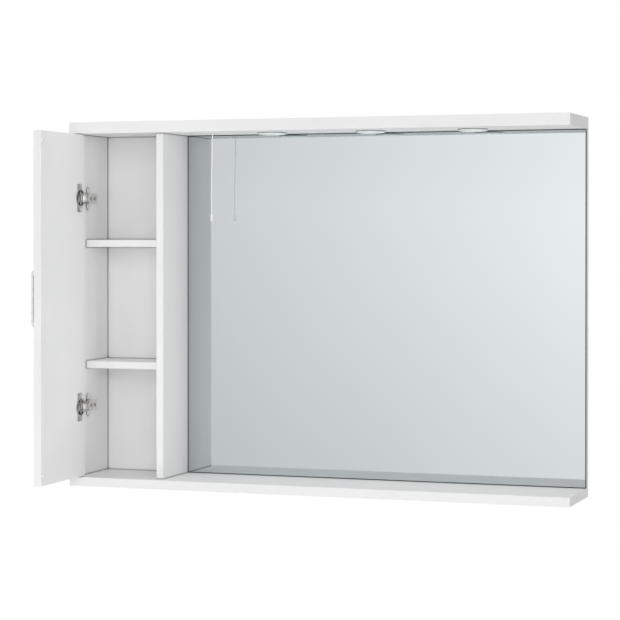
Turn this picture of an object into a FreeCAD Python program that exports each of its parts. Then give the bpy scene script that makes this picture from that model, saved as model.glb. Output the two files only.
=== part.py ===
import FreeCAD, Part
import math
import os

# Lighted mirror cabinet for a bathroom wall, in millimetres.
# The origin is the centre of the rear face, on the wall.
# +X is right seen from the front, the front faces -Y and +Z is up.
# The model stands as it is photographed, with the door swung open at a right angle.

V = FreeCAD.Vector
UP = V(0, 0, 1)

# Overall size
WIDTH = 1050.0
HEIGHT = 750.0
DEPTH = 170.0

# Boards
TOP_BOARD = 23.5
BOTTOM_BOARD = 18.5
BOARD = 15.0
BACK_BOARD = 15.0
DOOR_BOARD = 16.0
EDGE_ROUND = 1.0
CUPBOARD_WIDTH = 202.0
SHELF_SETBACK = 28.0
UPPER_BAY = 218.5
LOWER_BAY = 222.0

# Mirror
MIRROR_GLASS = 4.0
MIRROR_TAPE = 1.0
MIRROR_GAP = 1.0
MIRROR_ARRIS = 0.8
TAPE_WIDTH = 25.0
TAPE_MARGIN = 60.0
TAPE_COUNT = 5

# Door
DOOR_GAP = 3.0
DOOR_END_GAP = 1.5
DOOR_REVEAL = 1.5
DOOR_FREE_REVEAL = 0.5
BUMPER_R = 4.0
BUMPER_GAP = 0.3
BUMPER_INSET = 20.0

# Open position of the door's hinge-end inner corner, from the side's inner front corner
OPEN_INSET = 13.0
OPEN_LEAD = 4.0

# Hinges. Arm pins are measured from the side's inner front corner.
# Cup pins are measured from the door's inner corner at its hinge end.
UPPER_HINGE_INSET = 131.0
LOWER_HINGE_INSET = 143.5
ARM_PIN_IN = 10.0
ARM_PIN_OUT = -5.52
SIDE_ARM_PIN_IN = 16.84
SIDE_ARM_PIN_OUT = 3.45
CUP_PIN_ALONG = 9.0
CUP_PIN_DEEP = 3.0
SIDE_CUP_PIN_ALONG = 14.0
SIDE_CUP_PIN_DEEP = 2.5
PIN_R = 1.25
PIN_CLEARANCE = 0.05
OPEN_PIVOT_R = 3.8
MAIN_LINK_HALF = 6.0
MAIN_LINK_RISE = 10.5
SIDE_LINK_IN = 6.6
SIDE_LINK_OUT = 8.6
SIDE_LINK_RISE = 5.0
LINK_SHEET = 2.0
LINK_EYE_R = 2.4
CHEEK_IN = 9.2
CHEEK_OUT = 10.4
ARM_SHEET = 1.2
ARM_LOW = 8.5
ARM_HIGH = 15.5
ARM_REAR = 52.0
ARM_WEB_FRONT = 10.0
ARM_EYE_R = 2.4
CUP_R = 17.5
CUP_FIT = 0.1
CUP_WALL = 1.0
CUP_DEPTH = 11.0
CUP_EDGE = 4.0
FLANGE_SHEET = 1.2
FLANGE_R = 19.0
FLANGE_WING = 13.0
FLANGE_HALF = 29.0
CUP_SCREW_PITCH = 48.0
PLATE_SHEET = 2.0
PLATE_BACK = 37.0
PLATE_WIDTH = 14.0
PLATE_HALF = 24.0
PLATE_SCREW_PITCH = 32.0
PLATE_BOSS_HALF = 8.8
PLATE_BOSS_FRONT = 18.0
PLATE_BOSS_REAR = 50.0
ADJUSTER_R = 3.6
ADJUSTER_HEAD = 1.6
ADJUSTER_SLOT = 0.8
ADJUSTER_BACKS = (24.0, 42.0)

# Handle
HANDLE_Z = 15.5
HANDLE_PITCH = 102.0
HANDLE_FOOT = 10.0
HANDLE_BAR = 4.5
HANDLE_WIDTH = 10.0
HANDLE_PROJECTION = 22.0
HANDLE_INSET = 38.0
HANDLE_CORNER = 5.0
HANDLE_ROUND = 1.2
HANDLE_SCREW_R = 2.0
HANDLE_SCREW_GRIP = 8.0
HANDLE_CAP = 1.5
HANDLE_CAP_R = 4.0

# Lamp tray let into the top panel from above, with its cover
TRAY_FLOOR = 4.0
TRAY_LEFT_INSET = 35.0
TRAY_RIGHT_ROOM = 60.0
TRAY_FRONT = -120.0
TRAY_BACK = -38.0
COVER_SHEET = 3.0
COVER_LEDGE = 12.0
COVER_FIT = 0.4
COVER_SCREW_COLUMNS = 4

# Downlights
LIGHT_Y = -85.0
LIGHT_PITCH = 211.0
CAN_R = 26.2
CAN_WALL = 1.2
CAN_HEIGHT = 14.0
CAN_FIT = 0.3
BEZEL_R = 30.0
BEZEL_SHEET = 2.0
BEZEL_NECK = 5.0
BEZEL_FIT = 0.1
BEZEL_WALL = 1.4
LENS_FIT = 0.1
LENS_SEAT = 2.0
LENS_R = 28.6
LENS_DROP = 5.2
LED_BOARD = 1.6
LED_R = 9.0
LED_HEIGHT = 1.0
CLIP_WIDTH = 8.0
CLIP_SHEET = 0.6
CLIP_FOOT = 7.0
CLIP_HEIGHT = 8.0

# Pull switch
CORD_INSET = 82.3
SWITCH_SIDE = 34.0
SWITCH_HEADROOM = 0.5
SWITCH_WALL = 1.5
PLUNGER_HEAD_R = 5.0
PLUNGER_HEAD = 3.0
PLUNGER_R = 2.5
PLUNGER_FIT = 0.1
PLUNGER_TOP_GAP = 0.3
PLUNGER_OUT = 1.0
SPRING_R = 4.4
SPRING_WIRE = 1.0
GUIDE_R = 6.0
GUIDE_FLANGE = 2.0
GUIDE_SLEEVE_R = 4.2
CORD_R = 1.0
CORD_BEND_SHARE = 0.45
KNOB_R = 3.0
KNOB_NECK_R = 1.8
KNOB_LENGTH = 15.0
KNOB_CAP = 5.6
KNOB_ROUND = 1.0

# Electrics in the tray
DRIVER_LENGTH = 100.0
DRIVER_WIDTH = 38.0
DRIVER_HEADROOM = 2.0
DRIVER_CORNER = 4.0
TERMINAL_LENGTH = 30.0
TERMINAL_WIDTH = 20.0
TERMINAL_HEADROOM = 3.0
TERMINAL_WELL = 6.0
LEAD_R = 2.0
LEAD_BEND = 6.0
LEAD_RISE = 6.0
LEAD_GAP = 0.1
LEAD_BACK = -48.0
INLET_R = 6.0
INLET_RISE = 8.0
GROMMET_WALL = 1.5
GROMMET_LIP = 2.0

# Joinery
DOWEL_R = 4.0
DOWEL_IN_FACE = 10.0
DOWEL_IN_EDGE = 20.0
JOIN_SCREW_R = 2.5
JOIN_SCREW_HEAD_R = 5.0
JOIN_SCREW_HEAD = 2.5
JOIN_SCREW_IN_EDGE = 35.0
UPRIGHT_DOWEL_INSET = 20.0
UPRIGHT_SCREW_INSET = 45.0
BACK_DOWEL_INSET = 90.0
BACK_DOWEL_COUNTS = (2, 3)
BACK_SCREW_INSET = 45.0
BACK_SCREW_COUNTS = (2, 4)
SHELF_DOWEL_INSET = 25.0
WOOD_SCREW_R = 1.75
WOOD_SCREW_HEAD_R = 3.5
WOOD_SCREW_HEAD = 1.8
WOOD_SCREW = 9.0

# Wall hangers on the rear face
HANGER_INSET = 130.0
HANGER_DROP = 63.0
HANGER_HEIGHT = 70.0
HANGER_WIDTH = 30.0
HANGER_SHEET = 2.0
HANGER_ENTRY_R = 5.5
HANGER_SLOT_R = 2.75
HANGER_SLOT = 14.0
HANGER_POCKET = 9.0
HANGER_SCREW_PITCH = 54.0

# Places that follow from the sizes
LEFT = -WIDTH / 2
RIGHT = WIDTH / 2
TOP = HEIGHT / 2
BOTTOM = -HEIGHT / 2
CEILING = TOP - TOP_BOARD
FLOOR = BOTTOM + BOTTOM_BOARD
SIDE_IN = LEFT + BOARD
DIVIDER_RIGHT = LEFT + CUPBOARD_WIDTH
DIVIDER_LEFT = DIVIDER_RIGHT - BOARD
SIDE_FRONT = -DEPTH + DOOR_BOARD + DOOR_GAP
SHELF_FRONT = SIDE_FRONT + SHELF_SETBACK
UPPER_SHELF_TOP = CEILING - UPPER_BAY
LOWER_SHELF_TOP = FLOOR + LOWER_BAY + BOARD
DOOR_WIDTH = CUPBOARD_WIDTH - DOOR_REVEAL - DOOR_FREE_REVEAL
DOOR_TOP = CEILING - DOOR_END_GAP
DOOR_BOTTOM = FLOOR + DOOR_END_GAP
DOOR_IN = SIDE_IN + OPEN_INSET
DOOR_OUT = DOOR_IN - DOOR_BOARD
DOOR_HINGE_END = SIDE_FRONT - OPEN_LEAD
DOOR_FREE_END = DOOR_HINGE_END - DOOR_WIDTH
TRAY_BASE = CEILING + TRAY_FLOOR
COVER_BASE = TOP - COVER_SHEET
TRAY_LEFT = DIVIDER_RIGHT + TRAY_LEFT_INSET
TRAY_ROOM = COVER_BASE - TRAY_BASE
SWITCH_HEIGHT = TRAY_ROOM - SWITCH_HEADROOM
DRIVER_HEIGHT = TRAY_ROOM - DRIVER_HEADROOM
TERMINAL_HEIGHT = TRAY_ROOM - TERMINAL_HEADROOM
CUP_CENTRE = CUP_EDGE + CUP_R
NECK_R = CAN_R - CAN_WALL - BEZEL_FIT
LIGHT_MIDDLE = (DIVIDER_RIGHT + RIGHT) / 2
TRAY_RIGHT = LIGHT_MIDDLE + LIGHT_PITCH + TRAY_RIGHT_ROOM
LIGHTS = {"left": -1, "middle": 0, "right": 1}
HINGES = {"upper": DOOR_TOP - UPPER_HINGE_INSET, "lower": DOOR_BOTTOM + LOWER_HINGE_INSET}
CORD_X = DIVIDER_RIGHT + CORD_INSET
CORD_TOP = CEILING - GUIDE_FLANGE - PLUNGER_OUT
DRIVER_X = LIGHT_MIDDLE - LIGHT_PITCH / 2
TERMINAL_X = (CORD_X + SWITCH_SIDE / 2 + LIGHT_MIDDLE - LIGHT_PITCH - CAN_R) / 2
HANGER_X = WIDTH / 2 - HANGER_INSET
HANGER_Z = CEILING - HANGER_DROP

# The cord hangs from the plunger to its knob with a slight bow to the left.
# Each point is its place sideways from the guide and its drop below the plunger.
CORD_ROUTE = [(0.0, 0.0), (0.1, 39.4), (-1.9, 82.0), (-2.3, 124.6), (-1.8, 162.0)]
CORD_DROP = CORD_ROUTE[-1][1]


def box(x0, x1, y0, y1, z0, z1):
    """A block between two corners."""
    return Part.makeBox(x1 - x0, y1 - y0, z1 - z0, V(x0, y0, z0))


def rod(x, y, z0, z1, radius):
    """An upright round bar."""
    return Part.makeCylinder(radius, z1 - z0, V(x, y, z0))


def tube(x, y, z0, z1, outer, inner):
    """An upright round tube."""
    return rod(x, y, z0, z1, outer).cut(rod(x, y, z0, z1, inner))


def joined(shapes):
    """One solid from shapes that touch or cross."""
    return shapes[0].multiFuse(shapes[1:]).removeSplitter()


def softened(board, faces_at):
    """Rounds the edges of a board that lie on the given planes, as pairs of axis number and place."""
    edges = []
    for edge in board.Edges:
        for axis, place in faces_at:
            if all(abs(vertex.Point[axis] - place) < 1e-6 for vertex in edge.Vertexes):
                edges.append(edge)
                break
    return board.makeFillet(EDGE_ROUND, edges)


def screw(head, direction, length, shank_r, head_r, head_h):
    """A countersunk screw whose head lies flush at the given point."""
    cone = Part.makeCone(head_r, shank_r, head_h, head, direction)
    shank = Part.makeCylinder(shank_r, length, head, direction)
    return joined([cone, shank])


def wood_screw(head, direction, length=WOOD_SCREW):
    """A small countersunk wood screw."""
    return screw(head, direction, length, WOOD_SCREW_R, WOOD_SCREW_HEAD_R, WOOD_SCREW_HEAD)


def join_screw(head, direction, board):
    """A board joining screw that passes through one board into the edge of another."""
    length = board + JOIN_SCREW_IN_EDGE
    return screw(head, direction, length, JOIN_SCREW_R, JOIN_SCREW_HEAD_R, JOIN_SCREW_HEAD)


# Joinery places

def spread(start, end, margin, count):
    """Places spaced evenly between two ends, a margin in from each."""
    step = (end - start - 2 * margin) / (count - 1)
    return [start + margin + step * number for number in range(count)]


def back_row(margin, counts):
    """Places along the back board, in two rows that keep clear of the cable inlet between them."""
    return spread(SIDE_IN, TERMINAL_X, margin, counts[0]) + spread(TERMINAL_X, RIGHT, margin, counts[1])


def upright_joints():
    """Where uprights meet the top and bottom panels: plan places for dowels and for screws."""
    dowels = []
    screws = []
    for x, back in ((SIDE_IN - BOARD / 2, 0.0), (DIVIDER_LEFT + BOARD / 2, -BACK_BOARD)):
        dowels += [(x, y) for y in spread(SIDE_FRONT, back, UPRIGHT_DOWEL_INSET, 2)]
        screws += [(x, y) for y in spread(SIDE_FRONT, back, UPRIGHT_SCREW_INSET, 2)]
    dowels += [(x, -BACK_BOARD / 2) for x in back_row(BACK_DOWEL_INSET, BACK_DOWEL_COUNTS)]
    screws += [(x, -BACK_BOARD / 2) for x in back_row(BACK_SCREW_INSET, BACK_SCREW_COUNTS)]
    return dowels, screws


def shelf_dowel_places():
    """Dowel axes of the fixed shelves: Y and Z."""
    places = []
    for top in (UPPER_SHELF_TOP, LOWER_SHELF_TOP):
        for y in spread(SHELF_FRONT, -BACK_BOARD, SHELF_DOWEL_INSET, 2):
            places.append((y, top - BOARD / 2))
    return places


def panel_dowels():
    """Wooden dowels in every board joint."""
    pins = []
    for x, y in upright_joints()[0]:
        pins.append(rod(x, y, CEILING - DOWEL_IN_EDGE, CEILING + DOWEL_IN_FACE, DOWEL_R))
        pins.append(rod(x, y, FLOOR - DOWEL_IN_FACE, FLOOR + DOWEL_IN_EDGE, DOWEL_R))
    along = DOWEL_IN_FACE + DOWEL_IN_EDGE
    for y, z in shelf_dowel_places():
        pins.append(Part.makeCylinder(DOWEL_R, along, V(SIDE_IN - DOWEL_IN_FACE, y, z), V(1, 0, 0)))
        pins.append(Part.makeCylinder(DOWEL_R, along, V(DIVIDER_LEFT + DOWEL_IN_FACE, y, z), V(-1, 0, 0)))
    return pins


def panel_screws():
    """Screws down through the top panel and up through the bottom panel into the uprights and back board."""
    screws = []
    for x, y in upright_joints()[1]:
        screws.append(join_screw(V(x, y, TOP), V(0, 0, -1), TOP_BOARD))
        screws.append(join_screw(V(x, y, BOTTOM), UP, BOTTOM_BOARD))
    return screws


def cover_screws():
    """Screws that hold the tray cover to the ledge round the tray."""
    screws = []
    for x in spread(TRAY_LEFT - COVER_LEDGE, TRAY_RIGHT + COVER_LEDGE, COVER_LEDGE / 2, COVER_SCREW_COLUMNS):
        for y in (TRAY_FRONT - COVER_LEDGE / 2, TRAY_BACK + COVER_LEDGE / 2):
            screws.append(wood_screw(V(x, y, TOP), V(0, 0, -1)))
    return screws


def hanger_screws():
    """Screws that hold the keyhole plates to the back board."""
    screws = []
    for x in (-HANGER_X, HANGER_X):
        for z in (HANGER_Z - HANGER_SCREW_PITCH / 2, HANGER_Z + HANGER_SCREW_PITCH / 2):
            screws.append(wood_screw(V(x, 0, z), V(0, -1, 0)))
    return screws


def hinge_plate_screws():
    """Screws that hold the hinge mounting plates to the side."""
    screws = []
    for middle in HINGES.values():
        for z in (middle - PLATE_SCREW_PITCH / 2, middle + PLATE_SCREW_PITCH / 2):
            head = V(SIDE_IN + PLATE_SHEET, SIDE_FRONT + PLATE_BACK, z)
            screws.append(wood_screw(head, V(-1, 0, 0)))
    return screws


def hinge_cup_screws():
    """Screws that hold the hinge cups to the door."""
    screws = []
    for middle in HINGES.values():
        for z in (middle - CUP_SCREW_PITCH / 2, middle + CUP_SCREW_PITCH / 2):
            head = V(DOOR_IN + FLANGE_SHEET, DOOR_HINGE_END - CUP_CENTRE, z)
            screws.append(wood_screw(head, V(-1, 0, 0)))
    return screws


# Boards

def top_panel(fixings):
    """The thick top panel with the lamp tray, its cover ledge and the lamp and cord holes."""
    board = box(LEFT, RIGHT, -DEPTH, 0, CEILING, TOP)
    board = softened(board, [(0, LEFT), (0, RIGHT), (1, -DEPTH)])
    ledge = COVER_LEDGE
    rebate = box(TRAY_LEFT - ledge, TRAY_RIGHT + ledge, TRAY_FRONT - ledge, TRAY_BACK + ledge, COVER_BASE, TOP)
    tray = box(TRAY_LEFT, TRAY_RIGHT, TRAY_FRONT, TRAY_BACK, TRAY_BASE, TOP)
    holes = [rod(light_x(place), LIGHT_Y, CEILING, TRAY_BASE, CAN_R + CAN_FIT) for place in LIGHTS.values()]
    holes.append(rod(CORD_X, LIGHT_Y, CEILING, TRAY_BASE, GUIDE_SLEEVE_R))
    inlet = Part.makeCylinder(INLET_R, -TRAY_BACK, V(TERMINAL_X, TRAY_BACK, TRAY_BASE + INLET_RISE), V(0, 1, 0))
    return board.cut([rebate, tray, inlet] + holes).cut(fixings)


def top_cover(fixings):
    """The thin cover that closes the lamp tray, flush with the top panel."""
    reach = COVER_LEDGE - COVER_FIT
    left, right = TRAY_LEFT - reach, TRAY_RIGHT + reach
    return box(left, right, TRAY_FRONT - reach, TRAY_BACK + reach, COVER_BASE, TOP).cut(fixings)


def bottom_panel(fixings):
    """The bottom panel, which also makes the ledge under the mirror."""
    board = box(LEFT, RIGHT, -DEPTH, 0, BOTTOM, FLOOR)
    return softened(board, [(0, LEFT), (0, RIGHT), (1, -DEPTH)]).cut(fixings)


def side_panel(fixings):
    """The left side of the cupboard, which carries the door."""
    board = box(LEFT, SIDE_IN, SIDE_FRONT, 0, FLOOR, CEILING)
    return softened(board, [(1, SIDE_FRONT)]).cut(fixings)


def divider_panel(fixings):
    """The upright between the cupboard and the mirror."""
    board = box(DIVIDER_LEFT, DIVIDER_RIGHT, SIDE_FRONT, -BACK_BOARD, FLOOR, CEILING)
    return softened(board, [(1, SIDE_FRONT)]).cut(fixings)


def keyhole(x, front, rear):
    """A keyhole through a thickness in Y: a round entry with a narrow slot above it."""
    span = rear - front
    entry = Part.makeCylinder(HANGER_ENTRY_R, span, V(x, front, HANGER_Z - HANGER_SLOT), V(0, 1, 0))
    end = Part.makeCylinder(HANGER_SLOT_R, span, V(x, front, HANGER_Z), V(0, 1, 0))
    slot = box(x - HANGER_SLOT_R, x + HANGER_SLOT_R, front, rear, HANGER_Z - HANGER_SLOT, HANGER_Z)
    return joined([entry, slot, end])


def hanger_plate(x):
    """A flat steel plate with a keyhole, let in flush with the rear face."""
    half = HANGER_HEIGHT / 2
    plate = box(x - HANGER_WIDTH / 2, x + HANGER_WIDTH / 2, -HANGER_SHEET, 0, HANGER_Z - half, HANGER_Z + half)
    return plate.cut(keyhole(x, -HANGER_SHEET, 0))


def back_board(fixings):
    """The board behind the cupboard and the mirror, with the seats of the wall hangers."""
    board = box(SIDE_IN, RIGHT, -BACK_BOARD, 0, FLOOR, CEILING)
    seats = []
    for x in (-HANGER_X, HANGER_X):
        half = HANGER_HEIGHT / 2
        left, right = x - HANGER_WIDTH / 2, x + HANGER_WIDTH / 2
        seats.append(box(left, right, -HANGER_SHEET, 0, HANGER_Z - half, HANGER_Z + half))
        low, high = HANGER_Z - HANGER_SLOT - HANGER_ENTRY_R, HANGER_Z + HANGER_ENTRY_R
        seats.append(box(x - HANGER_ENTRY_R, x + HANGER_ENTRY_R, -HANGER_POCKET, 0, low, high))
    return board.cut(seats).cut(fixings)


def shelf(top, fixings):
    """A fixed shelf, set back to leave room for the hinges."""
    board = box(SIDE_IN, DIVIDER_LEFT, SHELF_FRONT, -BACK_BOARD, top - BOARD, top)
    return softened(board, [(1, SHELF_FRONT)]).cut(fixings)


# Mirror

def mirror_glass():
    """The mirror, with a narrow arris round its front edge and a small gap to the boards round it."""
    face = -BACK_BOARD - MIRROR_TAPE - MIRROR_GLASS
    left, right = DIVIDER_RIGHT + MIRROR_GAP, RIGHT - MIRROR_GAP
    glass = box(left, right, face, face + MIRROR_GLASS, FLOOR + MIRROR_GAP, CEILING - MIRROR_GAP)
    edges = [edge for edge in glass.Edges if all(abs(vertex.Y - face) < 1e-6 for vertex in edge.Vertexes)]
    return glass.makeChamfer(MIRROR_ARRIS, edges)


def mirror_tapes():
    """Upright strips of mounting tape between the mirror and the back board."""
    strips = []
    for x in spread(DIVIDER_RIGHT, RIGHT, TAPE_MARGIN, TAPE_COUNT):
        left, right = x - TAPE_WIDTH / 2, x + TAPE_WIDTH / 2
        low, high = FLOOR + TAPE_MARGIN, CEILING - TAPE_MARGIN
        strips.append(box(left, right, -BACK_BOARD - MIRROR_TAPE, -BACK_BOARD, low, high))
    return strips


# Hinges

def arm_point(inward, outward):
    """A plan place measured from the side's inner front corner."""
    return V(SIDE_IN + inward, SIDE_FRONT - outward, 0)


def cup_point(along, deep):
    """A plan place measured from the hinge-end inner corner of the open door."""
    return V(DOOR_IN - deep, DOOR_HINGE_END - along, 0)


ARM_PIN = arm_point(ARM_PIN_IN, ARM_PIN_OUT)
SIDE_ARM_PIN = arm_point(SIDE_ARM_PIN_IN, SIDE_ARM_PIN_OUT)
CUP_PIN = cup_point(CUP_PIN_ALONG, CUP_PIN_DEEP)
SIDE_CUP_PIN = cup_point(SIDE_CUP_PIN_ALONG, SIDE_CUP_PIN_DEEP)


def bowed_link(start, end, rise, z0, z1):
    """A flat link bent in an arc that bows towards +X between two pins, with an eye at each."""
    chord = end - start
    half = chord.Length / 2
    radius = (half * half + rise * rise) / (2 * rise)
    across = chord.cross(UP).normalize()
    if across.x < 0:
        across = across * -1
    centre = (start + end) * 0.5 + across * (rise - radius)
    ring = tube(centre.x, centre.y, z0, z1, radius + LINK_SHEET / 2, radius - LINK_SHEET / 2)
    reach = 3 * radius
    keep = Part.makeBox(reach, 2 * reach, z1 - z0, V(0, -reach, z0))
    keep.rotate(V(0, 0, 0), UP, math.degrees(math.atan2(across.y, across.x)))
    keep.translate((start + end) * 0.5)
    eyes = [rod(place.x, place.y, z0, z1, LINK_EYE_R) for place in (start, end)]
    return joined([ring.common(keep)] + eyes)


def main_link(middle):
    """The inner link of a hinge, from the arm's rear pin round the door's edge to the cup's outer pin."""
    low, high = middle - MAIN_LINK_HALF, middle + MAIN_LINK_HALF
    link = bowed_link(ARM_PIN, CUP_PIN, MAIN_LINK_RISE, low, high)
    bores = [rod(place.x, place.y, low, high, PIN_R + PIN_CLEARANCE) for place in (ARM_PIN, CUP_PIN)]
    return link.cut(bores)


def side_link(middle):
    """The outer link: two cheeks that turn on the arm's front pins and end clear of the cup's inner pins."""
    cheeks = []
    for low, high in ((SIDE_LINK_IN, SIDE_LINK_OUT), (-SIDE_LINK_OUT, -SIDE_LINK_IN)):
        cheek = bowed_link(SIDE_ARM_PIN, SIDE_CUP_PIN, SIDE_LINK_RISE, middle + low, middle + high)
        bore = rod(SIDE_ARM_PIN.x, SIDE_ARM_PIN.y, middle + low, middle + high, PIN_R + PIN_CLEARANCE)
        relief = rod(SIDE_CUP_PIN.x, SIDE_CUP_PIN.y, middle + low, middle + high, OPEN_PIVOT_R)
        cheeks.append(cheek.cut([bore, relief]))
    return cheeks


def arm_pins():
    """Rivets in the hinge arms: a long one for the main link and short ones for the side link's cheeks."""
    pins = []
    for middle in HINGES.values():
        pins.append(rod(ARM_PIN.x, ARM_PIN.y, middle - CHEEK_OUT, middle + CHEEK_OUT, PIN_R))
        for low, high in ((SIDE_LINK_IN, CHEEK_OUT), (-CHEEK_OUT, -SIDE_LINK_IN)):
            pins.append(rod(SIDE_ARM_PIN.x, SIDE_ARM_PIN.y, middle + low, middle + high, PIN_R))
    return pins


def cup_chord(along, radius):
    """Half the width of the round cup at a distance from the door's edge."""
    return math.sqrt(radius ** 2 - (CUP_CENTRE - along) ** 2)


def cup_pins():
    """Rivets in the hinge cups, let into the cup wall."""
    pins = []
    outer = CUP_R - CUP_FIT
    long_half = cup_chord(CUP_PIN_ALONG - PIN_R, outer) - CUP_FIT
    short_half = cup_chord(SIDE_CUP_PIN_ALONG - PIN_R, outer) - CUP_FIT
    for middle in HINGES.values():
        pins.append(rod(CUP_PIN.x, CUP_PIN.y, middle - long_half, middle + long_half, PIN_R))
        for low, high in ((SIDE_LINK_IN, short_half), (-short_half, -SIDE_LINK_IN)):
            pins.append(rod(SIDE_CUP_PIN.x, SIDE_CUP_PIN.y, middle + low, middle + high, PIN_R))
    return pins


def hinge_arm(middle, pins):
    """A folded sheet arm: a web with two cheeks that carry the pins at the nose."""
    rear = SIDE_FRONT + ARM_REAR
    pieces = []
    for low, high in ((CHEEK_IN, CHEEK_OUT), (-CHEEK_OUT, -CHEEK_IN)):
        z0, z1 = middle + low, middle + high
        pieces.append(box(SIDE_IN + ARM_LOW, SIDE_IN + ARM_HIGH, ARM_PIN.y, rear, z0, z1))
        nose = SIDE_ARM_PIN - ARM_PIN
        bar = Part.makeBox(nose.Length, 2 * ARM_EYE_R, z1 - z0, V(0, -ARM_EYE_R, z0))
        bar.rotate(V(0, 0, 0), UP, math.degrees(math.atan2(nose.y, nose.x)))
        bar.translate(ARM_PIN)
        pieces.append(bar)
        pieces += [rod(place.x, place.y, z0, z1, ARM_EYE_R) for place in (ARM_PIN, SIDE_ARM_PIN)]
    front = SIDE_FRONT + ARM_WEB_FRONT
    high = SIDE_IN + ARM_HIGH
    pieces.append(box(high - ARM_SHEET, high, front, rear, middle - CHEEK_OUT, middle + CHEEK_OUT))
    return joined(pieces).cut(pins).cut(hinge_adjusters())


def hinge_adjusters():
    """The two pan-head screws on each arm that fix and adjust it."""
    screws = []
    high = SIDE_IN + ARM_HIGH
    for middle in HINGES.values():
        for back in ADJUSTER_BACKS:
            place = V(high, SIDE_FRONT + back, middle)
            head = Part.makeCylinder(ADJUSTER_R, ADJUSTER_HEAD, place, V(1, 0, 0))
            shank = Part.makeCylinder(ADJUSTER_R / 2, ARM_HIGH - PLATE_SHEET, place, V(-1, 0, 0))
            y0, y1 = place.y - ADJUSTER_R, place.y + ADJUSTER_R
            z0, z1 = middle - ADJUSTER_SLOT / 2, middle + ADJUSTER_SLOT / 2
            slot = box(high + ADJUSTER_HEAD / 2, high + ADJUSTER_HEAD, y0, y1, z0, z1)
            screws.append(joined([head, shank]).cut(slot))
    return screws


def hinge_plate(middle, fixings):
    """A winged mounting plate on the side, with the raised block that carries the arm."""
    y = SIDE_FRONT + PLATE_BACK
    half = PLATE_HALF - PLATE_WIDTH / 2
    thick = SIDE_IN + PLATE_SHEET
    wing = box(SIDE_IN, thick, y - PLATE_WIDTH / 2, y + PLATE_WIDTH / 2, middle - half, middle + half)
    ends = [Part.makeCylinder(PLATE_WIDTH / 2, PLATE_SHEET, V(SIDE_IN, y, middle + side * half), V(1, 0, 0))
            for side in (-1, 1)]
    front, rear = SIDE_FRONT + PLATE_BOSS_FRONT, SIDE_FRONT + PLATE_BOSS_REAR
    top = SIDE_IN + ARM_HIGH - ARM_SHEET
    boss = box(SIDE_IN, top, front, rear, middle - PLATE_BOSS_HALF, middle + PLATE_BOSS_HALF)
    return joined([wing, boss] + ends).cut(fixings)


def hinge_cup(middle, pins, fixings):
    """A drawn steel cup in the door with a flange on its inner face."""
    y = DOOR_HINGE_END - CUP_CENTRE
    outer = CUP_R - CUP_FIT
    inward = V(-1, 0, 0)
    face = V(DOOR_IN, y, middle)
    lip = V(DOOR_IN + FLANGE_SHEET, y, middle)
    cup = Part.makeCylinder(outer, CUP_DEPTH, face, inward)
    flange = Part.makeCylinder(FLANGE_R, FLANGE_SHEET, lip, inward)
    half = FLANGE_HALF - FLANGE_WING / 2
    wing_r = FLANGE_WING / 2
    wing = box(DOOR_IN, DOOR_IN + FLANGE_SHEET, y - wing_r, y + wing_r, middle - half, middle + half)
    ends = [Part.makeCylinder(wing_r, FLANGE_SHEET, lip + UP * (side * half), inward) for side in (-1, 1)]
    hollow = Part.makeCylinder(outer - CUP_WALL, FLANGE_SHEET + CUP_DEPTH - CUP_WALL, lip, inward)
    return joined([cup, flange, wing] + ends).cut(hollow).cut(pins).cut(fixings)


# Door

def handle_feet():
    """Centres of the handle's feet on the door's outer face."""
    y = DOOR_FREE_END + HANDLE_INSET
    return [V(DOOR_OUT, y, HANDLE_Z + side * HANDLE_PITCH / 2) for side in (-1, 1)]


def door_handle(screws):
    """A square bow of flat bar with rounded corners and softened edges."""
    low, high = handle_feet()
    y0, y1 = low.y - HANDLE_WIDTH / 2, low.y + HANDLE_WIDTH / 2
    front = DOOR_OUT - HANDLE_PROJECTION
    bow = box(front, DOOR_OUT, y0, y1, low.z - HANDLE_FOOT / 2, high.z + HANDLE_FOOT / 2)
    corners = [edge for edge in bow.Edges if all(abs(vertex.X - front) < 1e-6 for vertex in edge.Vertexes)
               and edge.BoundBox.YLength > HANDLE_WIDTH / 2]
    bow = bow.makeFillet(HANDLE_CORNER, corners)
    rims = [edge for edge in bow.Edges if edge.BoundBox.YLength < 1e-6 and edge.BoundBox.XMin < DOOR_OUT - 1e-6]
    bow = bow.makeFillet(HANDLE_ROUND, rims)
    gap = box(front + HANDLE_BAR, DOOR_OUT, y0, y1, low.z + HANDLE_FOOT / 2, high.z - HANDLE_FOOT / 2)
    return bow.cut(gap).cut(screws)


def handle_screws():
    """Screws from the inner face of the door into the handle's feet."""
    length = DOOR_BOARD - HANDLE_CAP + HANDLE_SCREW_GRIP
    heads = [V(DOOR_IN - HANDLE_CAP, foot.y, foot.z) for foot in handle_feet()]
    head_h = HANDLE_CAP_R - HANDLE_SCREW_R
    return [screw(head, V(-1, 0, 0), length, HANDLE_SCREW_R, HANDLE_CAP_R, head_h) for head in heads]


def handle_caps():
    """White plugs over the handle screws, flush with the door's inner face."""
    return [Part.makeCylinder(HANDLE_CAP_R, HANDLE_CAP, V(DOOR_IN, foot.y, foot.z), V(-1, 0, 0))
            for foot in handle_feet()]


def door_panel(fixings):
    """The door board with its hinge cup bores."""
    board = box(DOOR_OUT, DOOR_IN, DOOR_FREE_END, DOOR_HINGE_END, DOOR_BOTTOM, DOOR_TOP)
    planes = [(0, DOOR_OUT), (0, DOOR_IN), (1, DOOR_FREE_END), (1, DOOR_HINGE_END)]
    board = softened(board, planes)
    y = DOOR_HINGE_END - CUP_CENTRE
    depth = CUP_DEPTH + CUP_FIT
    bores = [Part.makeCylinder(CUP_R, depth, V(DOOR_IN, y, z), V(-1, 0, 0)) for z in HINGES.values()]
    return board.cut(bores).cut(fixings)


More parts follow.
